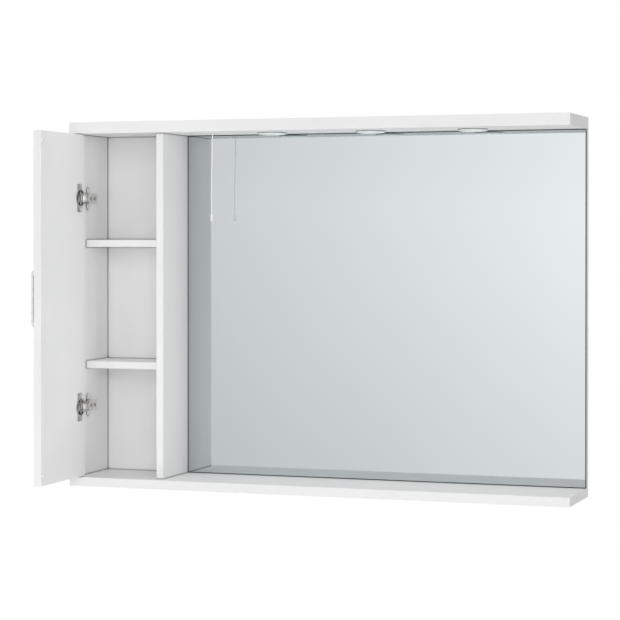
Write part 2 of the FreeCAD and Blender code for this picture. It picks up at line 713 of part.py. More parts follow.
def door_bumpers():
    """Clear pads that meet the divider's front edge when the door shuts."""
    thick = DOOR_GAP - BUMPER_GAP
    y = DOOR_HINGE_END - (DOOR_WIDTH + DOOR_FREE_REVEAL - BOARD / 2)
    heights = (DOOR_BOTTOM + BUMPER_INSET, DOOR_TOP - BUMPER_INSET)
    return [Part.makeCone(BUMPER_R, BUMPER_R - thick / 2, thick, V(DOOR_IN, y, z), V(1, 0, 0)) for z in heights]


# Downlights

def light_x(place):
    """The X of a downlight by its place in the row."""
    return LIGHT_MIDDLE + place * LIGHT_PITCH


def light_housing(x):
    """A round can that passes up through the tray floor."""
    inner = CAN_R - CAN_WALL
    can = rod(x, LIGHT_Y, CEILING, CEILING + CAN_HEIGHT, CAN_R)
    return can.cut(rod(x, LIGHT_Y, CEILING, CEILING + CAN_HEIGHT - CAN_WALL, inner))


def light_bezel(x):
    """The bright ring under the panel, with a neck inside the can."""
    ring = rod(x, LIGHT_Y, CEILING - BEZEL_SHEET, CEILING, BEZEL_R)
    low_edges = [edge for edge in ring.Edges if abs(edge.BoundBox.ZMax - (CEILING - BEZEL_SHEET)) < 1e-6]
    ring = ring.makeFillet(BEZEL_SHEET / 2, low_edges)
    neck = rod(x, LIGHT_Y, CEILING, CEILING + BEZEL_NECK, NECK_R)
    bore = rod(x, LIGHT_Y, CEILING - BEZEL_SHEET, CEILING + BEZEL_NECK, NECK_R - BEZEL_WALL)
    return joined([ring, neck]).cut(bore)


def light_lens(x):
    """A frosted lens: a plug in the bezel's bore and a wide dome under its ring."""
    plug = NECK_R - BEZEL_WALL - LENS_FIT
    rim = CEILING - BEZEL_SHEET
    top = rim + LENS_SEAT
    drop = CEILING - LENS_DROP
    corners = [V(0, 0, top), V(plug, 0, top), V(plug, 0, rim), V(LENS_R, 0, rim), V(0, 0, drop)]
    sides = [Part.LineSegment(start, end).toShape() for start, end in zip(corners[:3], corners[1:4])]
    sag = rim - drop
    dome = (LENS_R * LENS_R + sag * sag) / (2 * sag)
    half_way = math.asin(LENS_R / dome) / 2
    crown = V(dome * math.sin(half_way), 0, drop + dome * (1 - math.cos(half_way)))
    sides.append(Part.Arc(corners[3], crown, corners[4]).toShape())
    sides.append(Part.LineSegment(corners[4], corners[0]).toShape())
    lens = Part.Face(Part.Wire(sides)).revolve(V(0, 0, 0), UP, 360)
    lens.translate(V(x, LIGHT_Y, 0))
    return lens


def light_board(x):
    """The LED board under the can's roof, with one round emitter."""
    roof = CEILING + CAN_HEIGHT - CAN_WALL
    board = rod(x, LIGHT_Y, roof - LED_BOARD, roof, CAN_R - CAN_WALL - CAN_FIT)
    emitter = rod(x, LIGHT_Y, roof - LED_BOARD - LED_HEIGHT, roof - LED_BOARD, LED_R)
    return joined([board, emitter])


def light_clips():
    """Bent spring strips on each can, standing on the tray floor."""
    clips = []
    for place in LIGHTS.values():
        x = light_x(place)
        for side in (-1, 1):
            wall = LIGHT_Y + side * CAN_R
            out = wall + side * CLIP_SHEET
            foot = wall + side * CLIP_FOOT
            left, right = x - CLIP_WIDTH / 2, x + CLIP_WIDTH / 2
            upright = box(left, right, min(wall, out), max(wall, out), TRAY_BASE, TRAY_BASE + CLIP_HEIGHT)
            sole = box(left, right, min(wall, foot), max(wall, foot), TRAY_BASE, TRAY_BASE + CLIP_SHEET)
            clips.append(joined([upright, sole]))
    return clips


# Pull switch

def plunger_top():
    """The height of the plunger's head at rest."""
    return TRAY_BASE + SWITCH_HEIGHT - SWITCH_WALL - PLUNGER_TOP_GAP


def switch_body():
    """The switch case, hollow for the plunger and its spring."""
    half = SWITCH_SIDE / 2
    top = TRAY_BASE + SWITCH_HEIGHT
    case = box(CORD_X - half, CORD_X + half, LIGHT_Y - half, LIGHT_Y + half, TRAY_BASE, top)
    room = box(CORD_X - half + SWITCH_WALL, CORD_X + half - SWITCH_WALL, LIGHT_Y - half + SWITCH_WALL,
               LIGHT_Y + half - SWITCH_WALL, TRAY_BASE + SWITCH_WALL, top - SWITCH_WALL)
    return case.cut([room, rod(CORD_X, LIGHT_Y, TRAY_BASE, top - SWITCH_WALL, PLUNGER_R + PLUNGER_FIT)])


def switch_plunger():
    """The sliding stem that the cord pulls, with a head over the spring."""
    top = plunger_top()
    head = rod(CORD_X, LIGHT_Y, top - PLUNGER_HEAD, top, PLUNGER_HEAD_R)
    return joined([head, rod(CORD_X, LIGHT_Y, CORD_TOP, top - PLUNGER_HEAD, PLUNGER_R)])


def switch_spring():
    """The plunger's return spring, as a plain sleeve."""
    low, high = TRAY_BASE + SWITCH_WALL, plunger_top() - PLUNGER_HEAD
    return tube(CORD_X, LIGHT_Y, low, high, SPRING_R, SPRING_R - SPRING_WIRE)


def cord_guide():
    """The flanged bush under the panel that the cord runs through."""
    low = CEILING - GUIDE_FLANGE
    flange = rod(CORD_X, LIGHT_Y, low, CEILING, GUIDE_R)
    rim = [edge for edge in flange.Edges if abs(edge.BoundBox.ZMax - low) < 1e-6]
    flange = flange.makeFillet(GUIDE_FLANGE / 2, rim)
    bush = joined([flange, rod(CORD_X, LIGHT_Y, CEILING, TRAY_BASE, GUIDE_SLEEVE_R)])
    return bush.cut(rod(CORD_X, LIGHT_Y, low, TRAY_BASE, PLUNGER_R + PLUNGER_FIT))


def rounded_path(points, cut_share, cut_most):
    """A wire along straight runs with rounded corners, and the radii of its bends.

    Each arc starts a share of the shorter run before its corner, and no more than the largest cut.
    """
    edges = []
    bends = []
    start = points[0]
    for before, corner, after in zip(points, points[1:], points[2:]):
        back, onward = before - corner, after - corner
        cut = min(cut_share * min(back.Length, onward.Length), cut_most)
        turn = math.pi - back.getAngle(onward)
        bend = cut / math.tan(turn / 2)
        back.normalize()
        onward.normalize()
        enter, leave = corner + back * cut, corner + onward * cut
        inward = (back + onward).normalize()
        crown = corner + inward * (bend / math.cos(turn / 2) - bend)
        edges.append(Part.LineSegment(start, enter).toShape())
        edges.append(Part.Arc(enter, crown, leave).toShape())
        bends.append(bend)
        start = leave
    edges.append(Part.LineSegment(start, points[-1]).toShape())
    return Part.Wire(edges), bends


def round_section(path, points, radius):
    """A round bar along a path that starts at the first point towards the second."""
    ring = Part.Wire(Part.makeCircle(radius, points[0], points[1] - points[0]))
    return path.makePipeShell([ring], True, False)


def cord_points():
    """The cord's route in the cabinet's frame."""
    return [V(CORD_X + aside, LIGHT_Y, CORD_TOP - drop) for aside, drop in CORD_ROUTE]


def pull_cord():
    """The cord from the plunger to the knob."""
    path, bends = rounded_path(cord_points(), CORD_BEND_SHARE, CORD_DROP)
    cord = round_section(path, cord_points(), CORD_R)
    print("cord bend radii", [round(bend) for bend in bends], "length", round(path.Length, 2))
    section = math.pi * CORD_R ** 2
    print("cord volume over section times length", round(cord.Volume / (section * path.Length), 4))
    return cord


def cord_knob():
    """The turned knob on the cord's end, waisted at its top."""
    foot = cord_points()[-1]
    low = foot.z - KNOB_LENGTH
    shoulder = foot.z - KNOB_CAP
    cap = Part.makeCone(KNOB_R, KNOB_NECK_R, KNOB_CAP, V(foot.x, foot.y, shoulder))
    barrel = rod(foot.x, foot.y, low, shoulder, KNOB_R)
    rim = [edge for edge in barrel.Edges if abs(edge.BoundBox.ZMax - low) < 1e-6]
    return joined([cap, barrel.makeFillet(KNOB_ROUND, rim)])


# Electrics in the tray

def led_driver():
    """The flat driver case with rounded upright corners."""
    half_x, half_y = DRIVER_LENGTH / 2, DRIVER_WIDTH / 2
    case = box(DRIVER_X - half_x, DRIVER_X + half_x, LIGHT_Y - half_y, LIGHT_Y + half_y, TRAY_BASE,
               TRAY_BASE + DRIVER_HEIGHT)
    upright = [edge for edge in case.Edges if abs(edge.BoundBox.ZLength - DRIVER_HEIGHT) < 1e-6]
    return case.makeFillet(DRIVER_CORNER, upright)


def terminal_block():
    """The mains terminal block, with two screw wells."""
    half_x, half_y = TERMINAL_LENGTH / 2, TERMINAL_WIDTH / 2
    top = TRAY_BASE + TERMINAL_HEIGHT
    block = box(TERMINAL_X - half_x, TERMINAL_X + half_x, LIGHT_Y - half_y, LIGHT_Y + half_y, TRAY_BASE, top)
    wells = [rod(TERMINAL_X + side * half_x / 2, LIGHT_Y, top - TERMINAL_WELL, top, LEAD_R)
             for side in (-1, 1)]
    return block.cut(wells)


def straight_lead(x0, x1):
    """A straight lead along X in the line of the lights."""
    z = TRAY_BASE + LEAD_RISE
    return Part.makeCylinder(LEAD_R, x1 - x0 - 2 * LEAD_GAP, V(x0 + LEAD_GAP, LIGHT_Y, z), V(1, 0, 0))


def lamp_leads():
    """Leads from the driver to the lights, one light feeding the next."""
    left, middle, right = [light_x(place) for place in LIGHTS.values()]
    half = DRIVER_LENGTH / 2
    ends = [(left + CAN_R, DRIVER_X - half), (DRIVER_X + half, middle - CAN_R), (middle + CAN_R, right - CAN_R)]
    return [straight_lead(x0, x1) for x0, x1 in ends]


def mains_leads():
    """Leads from the terminal block to the switch and from the switch round the left light to the driver."""
    short = straight_lead(CORD_X + SWITCH_SIDE / 2, TERMINAL_X - TERMINAL_LENGTH / 2)
    z = TRAY_BASE + LEAD_RISE
    from_switch = V(CORD_X, LIGHT_Y + SWITCH_SIDE / 2 + LEAD_GAP, z)
    to_driver = V(DRIVER_X, LIGHT_Y + DRIVER_WIDTH / 2 + LEAD_GAP, z)
    route = [from_switch, V(CORD_X, LEAD_BACK, z), V(DRIVER_X, LEAD_BACK, z), to_driver]
    path = rounded_path(route, CORD_BEND_SHARE, LEAD_BEND)[0]
    return [short, round_section(path, route, LEAD_R)]


def cable_grommet():
    """The lipped grommet in the rear cable inlet."""
    z = TRAY_BASE + INLET_RISE
    back = V(0, 1, 0)
    mouth = V(TERMINAL_X, TRAY_BACK - GROMMET_LIP, z)
    sleeve = Part.makeCylinder(INLET_R, -TRAY_BACK, V(TERMINAL_X, TRAY_BACK, z), back)
    lip = Part.makeCylinder(INLET_R + GROMMET_WALL / 2, GROMMET_LIP, mouth, back)
    bore = Part.makeCylinder(INLET_R - GROMMET_WALL, GROMMET_LIP - TRAY_BACK, mouth, back)
    return joined([sleeve, lip]).cut(bore)


def group(solids):
    """Separate solids kept together in one node."""
    return Part.makeCompound(solids)


def all_parts():
    """Every node of the cabinet by name."""
    dowels, joins, lids = panel_dowels(), panel_screws(), cover_screws()
    hangers, plate_fixings, cup_fixings = hanger_screws(), hinge_plate_screws(), hinge_cup_screws()
    arm_rivets, cup_rivets, grips = arm_pins(), cup_pins(), handle_screws()
    joinery = dowels + joins
    parts = {
        "top_panel": top_panel(joinery + lids),
        "top_cover": top_cover(lids),
        "bottom_panel": bottom_panel(joinery),
        "side_panel": side_panel(joinery + plate_fixings),
        "divider_panel": divider_panel(joinery),
        "back_board": back_board(joinery + hangers),
        "upper_shelf": shelf(UPPER_SHELF_TOP, dowels),
        "lower_shelf": shelf(LOWER_SHELF_TOP, dowels),
        "panel_dowels": group(dowels),
        "panel_screws": group(joins),
        "top_cover_screws": group(lids),
        "hanger_plates": group([hanger_plate(x).cut(hangers) for x in (-HANGER_X, HANGER_X)]),
        "hanger_screws": group(hangers),
        "mirror_glass": mirror_glass(),
        "mirror_tapes": group(mirror_tapes()),
        "light_clips": group(light_clips()),
        "led_driver": led_driver(),
        "terminal_block": terminal_block(),
        "lamp_leads": group(lamp_leads()),
        "mains_leads": group(mains_leads()),
        "cable_grommet": cable_grommet(),
        "switch_body": switch_body(),
        "switch_plunger": switch_plunger(),
        "switch_spring": switch_spring(),
        "cord_guide": cord_guide(),
        "pull_cord": pull_cord(),
        "cord_knob": cord_knob(),
        "door_panel": door_panel(cup_fixings + grips + handle_caps()),
        "door_handle": door_handle(grips),
        "door_handle_screws": group(grips),
        "door_handle_caps": group(handle_caps()),
        "door_bumpers": group(door_bumpers()),
        "hinge_arm_pins": group(arm_rivets),
        "hinge_adjusters": group(hinge_adjusters()),
        "hinge_plate_screws": group(plate_fixings),
        "hinge_cup_pins": group(cup_rivets),
        "hinge_cup_screws": group(cup_fixings),
    }
    for place, offset in LIGHTS.items():
        x = light_x(offset)
        parts[place + "_light_housing"] = light_housing(x)
        parts[place + "_light_bezel"] = light_bezel(x)
        parts[place + "_light_lens"] = light_lens(x)
        parts[place + "_light_board"] = light_board(x)
    for place, z in HINGES.items():
        parts[place + "_hinge_plate"] = hinge_plate(z, plate_fixings + hinge_adjusters())
        parts[place + "_hinge_arm"] = hinge_arm(z, arm_rivets)
        parts[place + "_hinge_main_link"] = main_link(z)
        parts[place + "_hinge_side_link"] = group(side_link(z))
        parts[place + "_hinge_cup"] = hinge_cup(z, cup_rivets, cup_fixings)
    return parts


def write_parts():
    """Writes one file for each node."""
    os.makedirs("parts", exist_ok=True)
    for name, shape in all_parts().items():
        if not shape.isValid():
            print("not valid:", name)
        shape.exportStep(os.path.join("parts", name + ".step"))


write_parts()
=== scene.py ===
"""Looks of a wall-hung mirror cabinet with downlights, a cupboard and a pull cord.

Lengths are in metres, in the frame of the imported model: +X right, the front faces -Y, +Z up.
"""

from __future__ import annotations

import logging
import math
from dataclasses import dataclass
from enum import Enum
from typing import Protocol, Sequence

import bmesh
import bpy
from mathutils import Matrix, Vector

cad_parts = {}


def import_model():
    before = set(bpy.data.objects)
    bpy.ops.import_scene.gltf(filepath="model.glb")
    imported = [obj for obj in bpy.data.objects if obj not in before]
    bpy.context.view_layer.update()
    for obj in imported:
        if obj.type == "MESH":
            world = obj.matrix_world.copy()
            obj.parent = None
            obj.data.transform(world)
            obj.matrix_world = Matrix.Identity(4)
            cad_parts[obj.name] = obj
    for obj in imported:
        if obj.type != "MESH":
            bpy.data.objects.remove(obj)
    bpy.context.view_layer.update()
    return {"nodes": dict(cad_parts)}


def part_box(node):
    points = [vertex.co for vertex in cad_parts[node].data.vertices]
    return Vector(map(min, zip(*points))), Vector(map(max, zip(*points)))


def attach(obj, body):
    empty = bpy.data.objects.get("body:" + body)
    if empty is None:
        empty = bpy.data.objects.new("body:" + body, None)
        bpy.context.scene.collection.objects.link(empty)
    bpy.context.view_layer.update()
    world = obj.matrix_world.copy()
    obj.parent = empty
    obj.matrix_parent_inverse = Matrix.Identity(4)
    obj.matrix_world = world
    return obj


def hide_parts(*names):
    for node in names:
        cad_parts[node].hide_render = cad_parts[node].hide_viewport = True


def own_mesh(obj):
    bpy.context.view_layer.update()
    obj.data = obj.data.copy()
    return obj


log = logging.getLogger("mirror_cabinet")

IMAGE_SIDE = 620
MM_PER_METRE = 1000
FULL_TURN = 2 * math.pi
TOUCH = 1e-6  # points nearer to each other than this are one point
FLAT = 1e-3  # faces that meet at less than this angle, in radians, lie in one plane

Colour = tuple[float, float, float]
Point = tuple[float, float, float]
Pair = tuple[float, float]
Span = tuple[float, float]
Stops = tuple[Pair, ...]
Socket = bpy.types.NodeSocket


class Finish(Enum):
    """Finishes of the cabinet; all but DOOR, HANDLE, CUP and KNOB are also slots of the record."""

    BOARD = "white_board"
    DOOR = "door_board"
    MIRROR = "mirror_silver"
    HANDLE = "satin_chrome"
    BEZEL = "bright_chrome"
    CUP = "cup_nickel"
    NICKEL = "hinge_nickel"
    LENS = "frosted_glass"
    PLASTIC = "white_plastic"
    KNOB = "knob_plastic"
    CORD = "cord_nylon"
    PAD = "clear_pad"
    BEECH = "beech"
    ZINC = "zinc_steel"
    FOAM = "foam_tape"
    CAN = "can_aluminium"
    LAMP_BOARD = "led_board"
    SHEATH = "lead_sheath"
    RUBBER = "grommet_rubber"


class Body(Enum):
    """Bodies that new pieces ride on."""

    CARCASS = "carcass"
    DOOR = "door"
    PULL = "pull"


class Axis(Enum):
    """Axes of a piece, or of the direction that a ray looks in."""

    X = "X"
    Y = "Y"
    Z = "Z"


class Detail(Enum):
    """Octaves of a noise."""

    SMOOTH = 1.0
    SOFT = 2.0
    FINE = 3.0
    RICH = 4.0


class Rounded(Enum):
    """What a rounding works on."""

    EDGES = "EDGES"
    CORNERS = "VERTICES"


class Mixed(Enum):
    """What a mix node mixes, with the places of the two inputs and the output that it keeps for that kind."""

    FLOAT = (2, 3, 0)
    RGBA = (6, 7, 2)


class NodeGraph:
    """A node tree, with short ways to add to it."""

    def __init__(self, tree: bpy.types.NodeTree) -> None:
        """Takes the tree that is added to."""
        self.tree = tree

    def add(self, kind: str, **inputs: object) -> bpy.types.Node:
        """Adds a node.

        Args:
            kind: Blender's type name of the node.
            inputs: What its inputs get, named as for feed.

        Returns:
            The new node.
        """
        node = self.tree.nodes.new(kind)
        self.feed(node, **inputs)
        return node

    def feed(self, node: bpy.types.Node, **inputs: object) -> None:
        """Gives a node's inputs their values, with spaces in their names written as underscores."""
        for name, value in inputs.items():
            self.give(node.inputs[name.replace("_", " ")], value)

    def give(self, target: Socket, value: object) -> None:
        """Sets a value on a socket, or links it to the socket that the value comes from.

        Args:
            target: Socket that gets the value.
            value: The value, or a socket of another node.
        """
        if isinstance(value, Socket):
            self.tree.links.new(value, target)
        else:
            target.default_value = value

    def mix(self, kind: Mixed, factor: Socket | float, first: object, second: object, blend: str = "MIX") -> Socket:
        """Mixes two values, each set or linked as in give.

        Args:
            kind: Whether they are numbers or colours.
            factor: Share of the second one.
            first: Value at a factor of 0.
            second: Value at a factor of 1.
            blend: Blender's name of the way that colours are mixed.

        Returns:
            The socket of the mixed value.
        """
        node = self.add("ShaderNodeMix")
        node.data_type = kind.name
        node.blend_type = blend
        self.feed(node, Factor=factor)
        first_at, second_at, out_at = kind.value
        self.give(node.inputs[first_at], first)
        self.give(node.inputs[second_at], second)
        return node.outputs[out_at]

    def maths(self, operation: str, first: Socket, second: Socket | float) -> Socket:
        """Works a value out of another and a value or number.

        Args:
            operation: Blender's name of the operation.
            first: Value socket.
            second: Value socket or number.

        Returns:
            The result's socket.
        """
        node = self.add("ShaderNodeMath")
        node.operation = operation
        for target, value in zip(node.inputs, (first, second)):
            self.give(target, value)
        return node.outputs["Value"]

    def seen_rays(self) -> Socket:
        """A value that is 1 for what is looked at, straight or through glass, and 0 for other rays."""
        rays = self.add("ShaderNodeLightPath").outputs
        return self.maths("MAXIMUM", rays["Is Camera Ray"], rays["Is Transmission Ray"])


class NodeSheet(NodeGraph):
    """A material's node tree, with what the finishes need."""

    joint_rays: int = 8

    def __init__(self, name: str) -> None:
        """Starts a material with its principled shader.

        Args:
            name: Name of the material.
        """
        self.material = bpy.data.materials.new(name)
        self.material.use_nodes = True
        super().__init__(self.material.node_tree)
        self.shader = self.tree.nodes["Principled BSDF"]
        self.output = self.tree.nodes["Material Output"]

    def place(self, stretch: Point = (1, 1, 1), turn: Point = (0, 0, 0)) -> Socket:
        """Object coordinates, stretched and turned.

        Args:
            stretch: Scale along each axis.
            turn: Turn about each axis, in radians.

        Returns:
            The vector socket.
        """
        where = self.add("ShaderNodeTexCoord").outputs["Object"]
        return self.add("ShaderNodeMapping", Vector=where, Scale=stretch, Rotation=turn).outputs["Vector"]

    def facing(self, axis: Axis) -> Socket:
        """How far the surface faces along an axis, from -1 to 1.

        Args:
            axis: Axis of the piece's own frame.

        Returns:
            The value socket.
        """
        normal = self.add("ShaderNodeTexCoord").outputs["Normal"]
        return self.add("ShaderNodeSeparateXYZ", Vector=normal).outputs[axis.value]

    def noise(self, vector: Socket, scale: float, detail: Detail = Detail.FINE) -> Socket:
        """A noise value over a vector.

        Args:
            vector: Where the noise is read.
            scale: Cells to the metre.
            detail: Octaves.

        Returns:
            The factor socket.
        """
        return self.add("ShaderNodeTexNoise", Vector=vector, Scale=scale, Detail=detail.value).outputs["Fac"]

    def between(self, factor: Socket, low: Colour, high: Colour, start: float = 0.35, end: float = 0.65) -> Socket:
        """A colour that runs from one to another with a factor.

        Args:
            factor: Value that drives the colour.
            low: Colour at the start.
            high: Colour at the end.
            start: Factor of the low colour.
            end: Factor of the high colour.

        Returns:
            The colour socket.
        """
        ramp = self.add("ShaderNodeValToRGB", Fac=factor)
        first, last = ramp.color_ramp.elements
        first.position, last.position = start, end
        first.color, last.color = (*low, 1), (*high, 1)
        return ramp.outputs["Color"]

    def span(self, factor: Socket, low: float, high: float, start: float = 0.3, end: float = 0.7) -> Socket:
        """A number that runs between two values with a factor.

        Args:
            factor: Value that drives the number.
            low: Number at the start.
            high: Number at the end.
            start: Factor of the low number.
            end: Factor of the high number.

        Returns:
            The value socket.
        """
        node = self.add("ShaderNodeMapRange", Value=factor, From_Min=start, From_Max=end, To_Min=low, To_Max=high)
        return node.outputs["Result"]

    def painted_joint_shade(self, colour: Socket, reach: float, dark: float, start: float = 0.55, end: float = 0.85) -> Socket:
        """Paints shade into a colour in the narrow lines where pieces meet, darkening it by ambient occlusion.

        Args:
            colour: Colour of the open surface.
            reach: How far from a joint the line begins.
            dark: Share of the colour left where the painted shade is darkest.
            start: Openness of the darkest part.
            end: Openness of the clear surface.

        Returns:
            The colour socket.
        """
        openness = self.add("ShaderNodeAmbientOcclusion", Distance=reach)
        openness.samples = self.joint_rays
        return self.shaded(colour, self.span(openness.outputs["AO"], dark, 1.0, start, end))

    def shaded(self, colour: Socket, kept: Socket) -> Socket:
        """A colour times the share of it that is kept.

        Args:
            colour: Colour of the bright surface.
            kept: Share that is kept, from 0 to 1.

        Returns:
            The colour socket.
        """
        return self.mix(Mixed.RGBA, 1.0, colour, kept, "MULTIPLY")

    def relief(self, height: Socket, share: float, depth: float) -> None:
        """Bumps the surface by a height.

        Args:
            height: Value read as the height.
            share: How much of the bump shows.
            depth: Depth of a full step.
        """
        bump = self.add("ShaderNodeBump", Height=height, Strength=share, Distance=depth)
        self.set(Normal=bump.outputs["Normal"])

    def set(self, **values: object) -> None:
        """Gives the shader's own inputs their values, named as for feed."""
        self.feed(self.shader, **values)


class Look(Protocol):
    """A finish that can make its material."""

    def material(self) -> bpy.types.Material:
        """Builds the finish."""


@dataclass(frozen=True)
class Lacquer:
    """Sprayed white lacquer on fibreboard, with a faint orange peel and painted shade in the joints between boards.
    """

    name: str
    pale: Colour = (0.9, 0.9, 0.9)
    shade: Colour = (0.875, 0.875, 0.877)
    rough: Span = (0.29, 0.33)
    coat: float = 0.1
    coat_rough: float = 0.12
    index: float = 1.5
    joint: float = 0.0
    joint_shade_kept: float = 0.1
    cloud_scale: float = 7.0
    haze_scale: float = 45.0
    peel_scale: float = 900.0
    peel_share: float = 0.02
    peel_depth: float = 0.0002

    def material(self) -> bpy.types.Material:
        """Builds the finish."""
        sheet = NodeSheet(self.name)
        cloud = sheet.noise(sheet.place(), self.cloud_scale, Detail.RICH)
        colour = sheet.between(cloud, self.shade, self.pale)
        # painted shade: the colour is darkened in the joints by ambient occlusion
        if self.joint:
            colour = sheet.painted_joint_shade(colour, self.joint, self.joint_shade_kept)
        haze = sheet.noise(sheet.place(), self.haze_scale, Detail.SMOOTH)
        peel = sheet.noise(sheet.place(), self.peel_scale, Detail.SMOOTH)
        sheet.relief(peel, self.peel_share, self.peel_depth)
        sheet.set(Base_Color=colour, Roughness=sheet.span(haze, *self.rough), Coat_Weight=self.coat,
                  Coat_Roughness=self.coat_rough, IOR=self.index)
        return sheet.material


@dataclass(frozen=True)
class Plating:
    """Bright metal plate or spun metal, with fine marks that run along one axis.

    Faces towards +X keep only a share of their colour: painted shade on the back of the handle, which faces the open
    door.
    """

    name: str
    bright: Colour
    dull: Colour
    rough: Span
    grain: Point = (1, 1, 1)
    scratch: float = 0.04
    joint: float = 0.0
    joint_shade_kept: float = 0.2
    joint_span: Span = (0.3, 0.9)
    metal: float = 1.0
    inner_shade: float = 1.0
    inner_span: Span = (0.3, 0.8)
    cloud_scale: float = 60.0
    mark_scale: float = 900.0
    mark_depth: float = 0.0002

    def material(self) -> bpy.types.Material:
        """Builds the finish."""
        sheet = NodeSheet(self.name)
        cloud = sheet.noise(sheet.place(), self.cloud_scale)
        colour = sheet.between(cloud, self.dull, self.bright)
        # painted shade: the colour is darkened in the crevices by ambient occlusion
        if self.joint:
            colour = sheet.painted_joint_shade(colour, self.joint, self.joint_shade_kept, *self.joint_span)
        # painted shade: faces towards +X, the handle's back towards the door, are darkened
        if self.inner_shade < 1.0:
            kept = sheet.span(sheet.facing(Axis.X), 1.0, self.inner_shade, *self.inner_span)
            colour = sheet.shaded(colour, kept)
        marks = sheet.noise(sheet.place(self.grain), self.mark_scale)
        sheet.relief(marks, self.scratch, self.mark_depth)
        sheet.set(Base_Color=colour, Roughness=sheet.span(marks, *self.rough), Metallic=self.metal)
        return sheet.material


@dataclass(frozen=True)
class Moulding:
    """Plastic, rubber or foam with a fine moulded skin."""

    name: str
    pale: Colour
    shade: Colour
    rough: Span
    pore_scale: float = 900.0
    pore_share: float = 0.08
    pore_depth: float = 0.0003
    milky: float = 0.0
    milky_reach: float = 0.003
    index: float = 1.46
    cloud_scale: float = 90.0

    def material(self) -> bpy.types.Material:
        """Builds the finish."""
        sheet = NodeSheet(self.name)
        cloud = sheet.noise(sheet.place(), self.cloud_scale)
        skin = sheet.noise(sheet.place(), self.pore_scale, Detail.SOFT)
        sheet.relief(skin, self.pore_share, self.pore_depth)
        sheet.set(Base_Color=sheet.between(cloud, self.shade, self.pale), Roughness=sheet.span(skin, *self.rough),
                  Subsurface_Weight=self.milky, Subsurface_Radius=(1, 1, 1), Subsurface_Scale=self.milky_reach,
                  IOR=self.index)
        return sheet.material


@dataclass(frozen=True)
class SilveredGlass:
    """Mirror glass: silver seen through the pane, with green polished edges."""

    name: str
    silver: Colour
    veil: Colour
    edge: Colour
    silver_rough: float = 0.004
    edge_rough: float = 0.35
    front_span: Span = (-0.999, -0.99)
    cloud_scale: float = 3.0

    def material(self) -> bpy.types.Material:
        """Builds the finish, with the silver on the front and the bare glass on the edges."""
        sheet = NodeSheet(self.name)
        cloud = sheet.noise(sheet.place(), self.cloud_scale, Detail.SOFT)
        silver = sheet.between(cloud, self.veil, self.silver)
        front = sheet.span(sheet.facing(Axis.Y), 1.0, 0.0, *self.front_span)
        colour = sheet.mix(Mixed.RGBA, front, (*self.edge, 1), silver)
        rough = sheet.span(front, self.edge_rough, self.silver_rough, start=0.0, end=1.0)
        sheet.set(Base_Color=colour, Roughness=rough, Metallic=front)
        return sheet.material


@dataclass(frozen=True)
class FrostedGlass:
    """Pressed lamp glass with a soft frost and a pale green body, with a faint painted glow that brightens it."""

    name: str
    body: Colour
    rim: Colour
    rough: Span
    clear: float
    light: Colour
    glow: float
    index: float = 1.5
    coat: float = 0.6
    coat_rough: float = 0.04
    cloud_scale: float = 160.0
    frost_scale: float = 1400.0
    frost_share: float = 0.06
    frost_depth: float = 0.0002

    def material(self) -> bpy.types.Material:
        """Builds the finish."""
        sheet = NodeSheet(self.name)
        cloud = sheet.noise(sheet.place(), self.cloud_scale, Detail.SOFT)
        frost = sheet.noise(sheet.place(), self.frost_scale, Detail.SOFT)
        sheet.relief(frost, self.frost_share, self.frost_depth)
        # painted light: the emission gives the lens a faint glow of its own
        sheet.set(Base_Color=sheet.between(cloud, self.rim, self.body), Roughness=sheet.span(frost, *self.rough),
                  Transmission_Weight=self.clear, IOR=self.index, Coat_Weight=self.coat,
                  Coat_Roughness=self.coat_rough, Emission_Color=(*self.light, 1), Emission_Strength=self.glow)
        return sheet.material


@dataclass(frozen=True)
class BraidedNylon:
    """White braided cord: two sets of slanting strands that cross, with painted shade making the grooves between
    them a little darker.
    """

    name: str
    strand: Colour
    groove: Colour
    rough: float = 0.6
    sheen: float = 0.2
    sheen_rough: float = 0.4
    strand_scale: float = 150.0
    strand_lean: float = 0.7
    strand_waver: float = 0.4
    groove_span: Span = (0.1, 0.7)
    groove_share: float = 0.3
    groove_depth: float = 0.0003

    def material(self) -> bpy.types.Material:
        """Builds the finish."""
        sheet = NodeSheet(self.name)
        heights = []
        for lean in (self.strand_lean, -self.strand_lean):
            wave = sheet.add("ShaderNodeTexWave", Vector=sheet.place(turn=(lean, lean, 0)), Scale=self.strand_scale,
                             Distortion=self.strand_waver)
            wave.bands_direction = "Z"
            heights.append(wave.outputs["Fac"])
        weave = sheet.maths("MAXIMUM", *heights)
        sheet.relief(weave, self.groove_share, self.groove_depth)
        # painted shade: the grooves between strands are a little darker
        sheet.set(Base_Color=sheet.between(weave, self.groove, self.strand, *self.groove_span),
                  Roughness=self.rough, Sheen_Weight=self.sheen, Sheen_Roughness=self.sheen_rough)
        return sheet.material


@dataclass(frozen=True)
class Timber:
    """Plain straight-grained hardwood."""

    name: str
    pale: Colour
    grain: Colour
    rough: float = 0.6
    grain_stretch: Point = (1, 1, 0.05)
    grain_scale: float = 700.0
    grain_share: float = 0.15
    grain_depth: float = 0.0003

    def material(self) -> bpy.types.Material:
        """Builds the finish."""
        sheet = NodeSheet(self.name)
        lines = sheet.noise(sheet.place(self.grain_stretch), self.grain_scale, Detail.RICH)
        sheet.relief(lines, self.grain_share, self.grain_depth)
        sheet.set(Base_Color=sheet.between(lines, self.grain, self.pale), Roughness=self.rough)
        return sheet.material


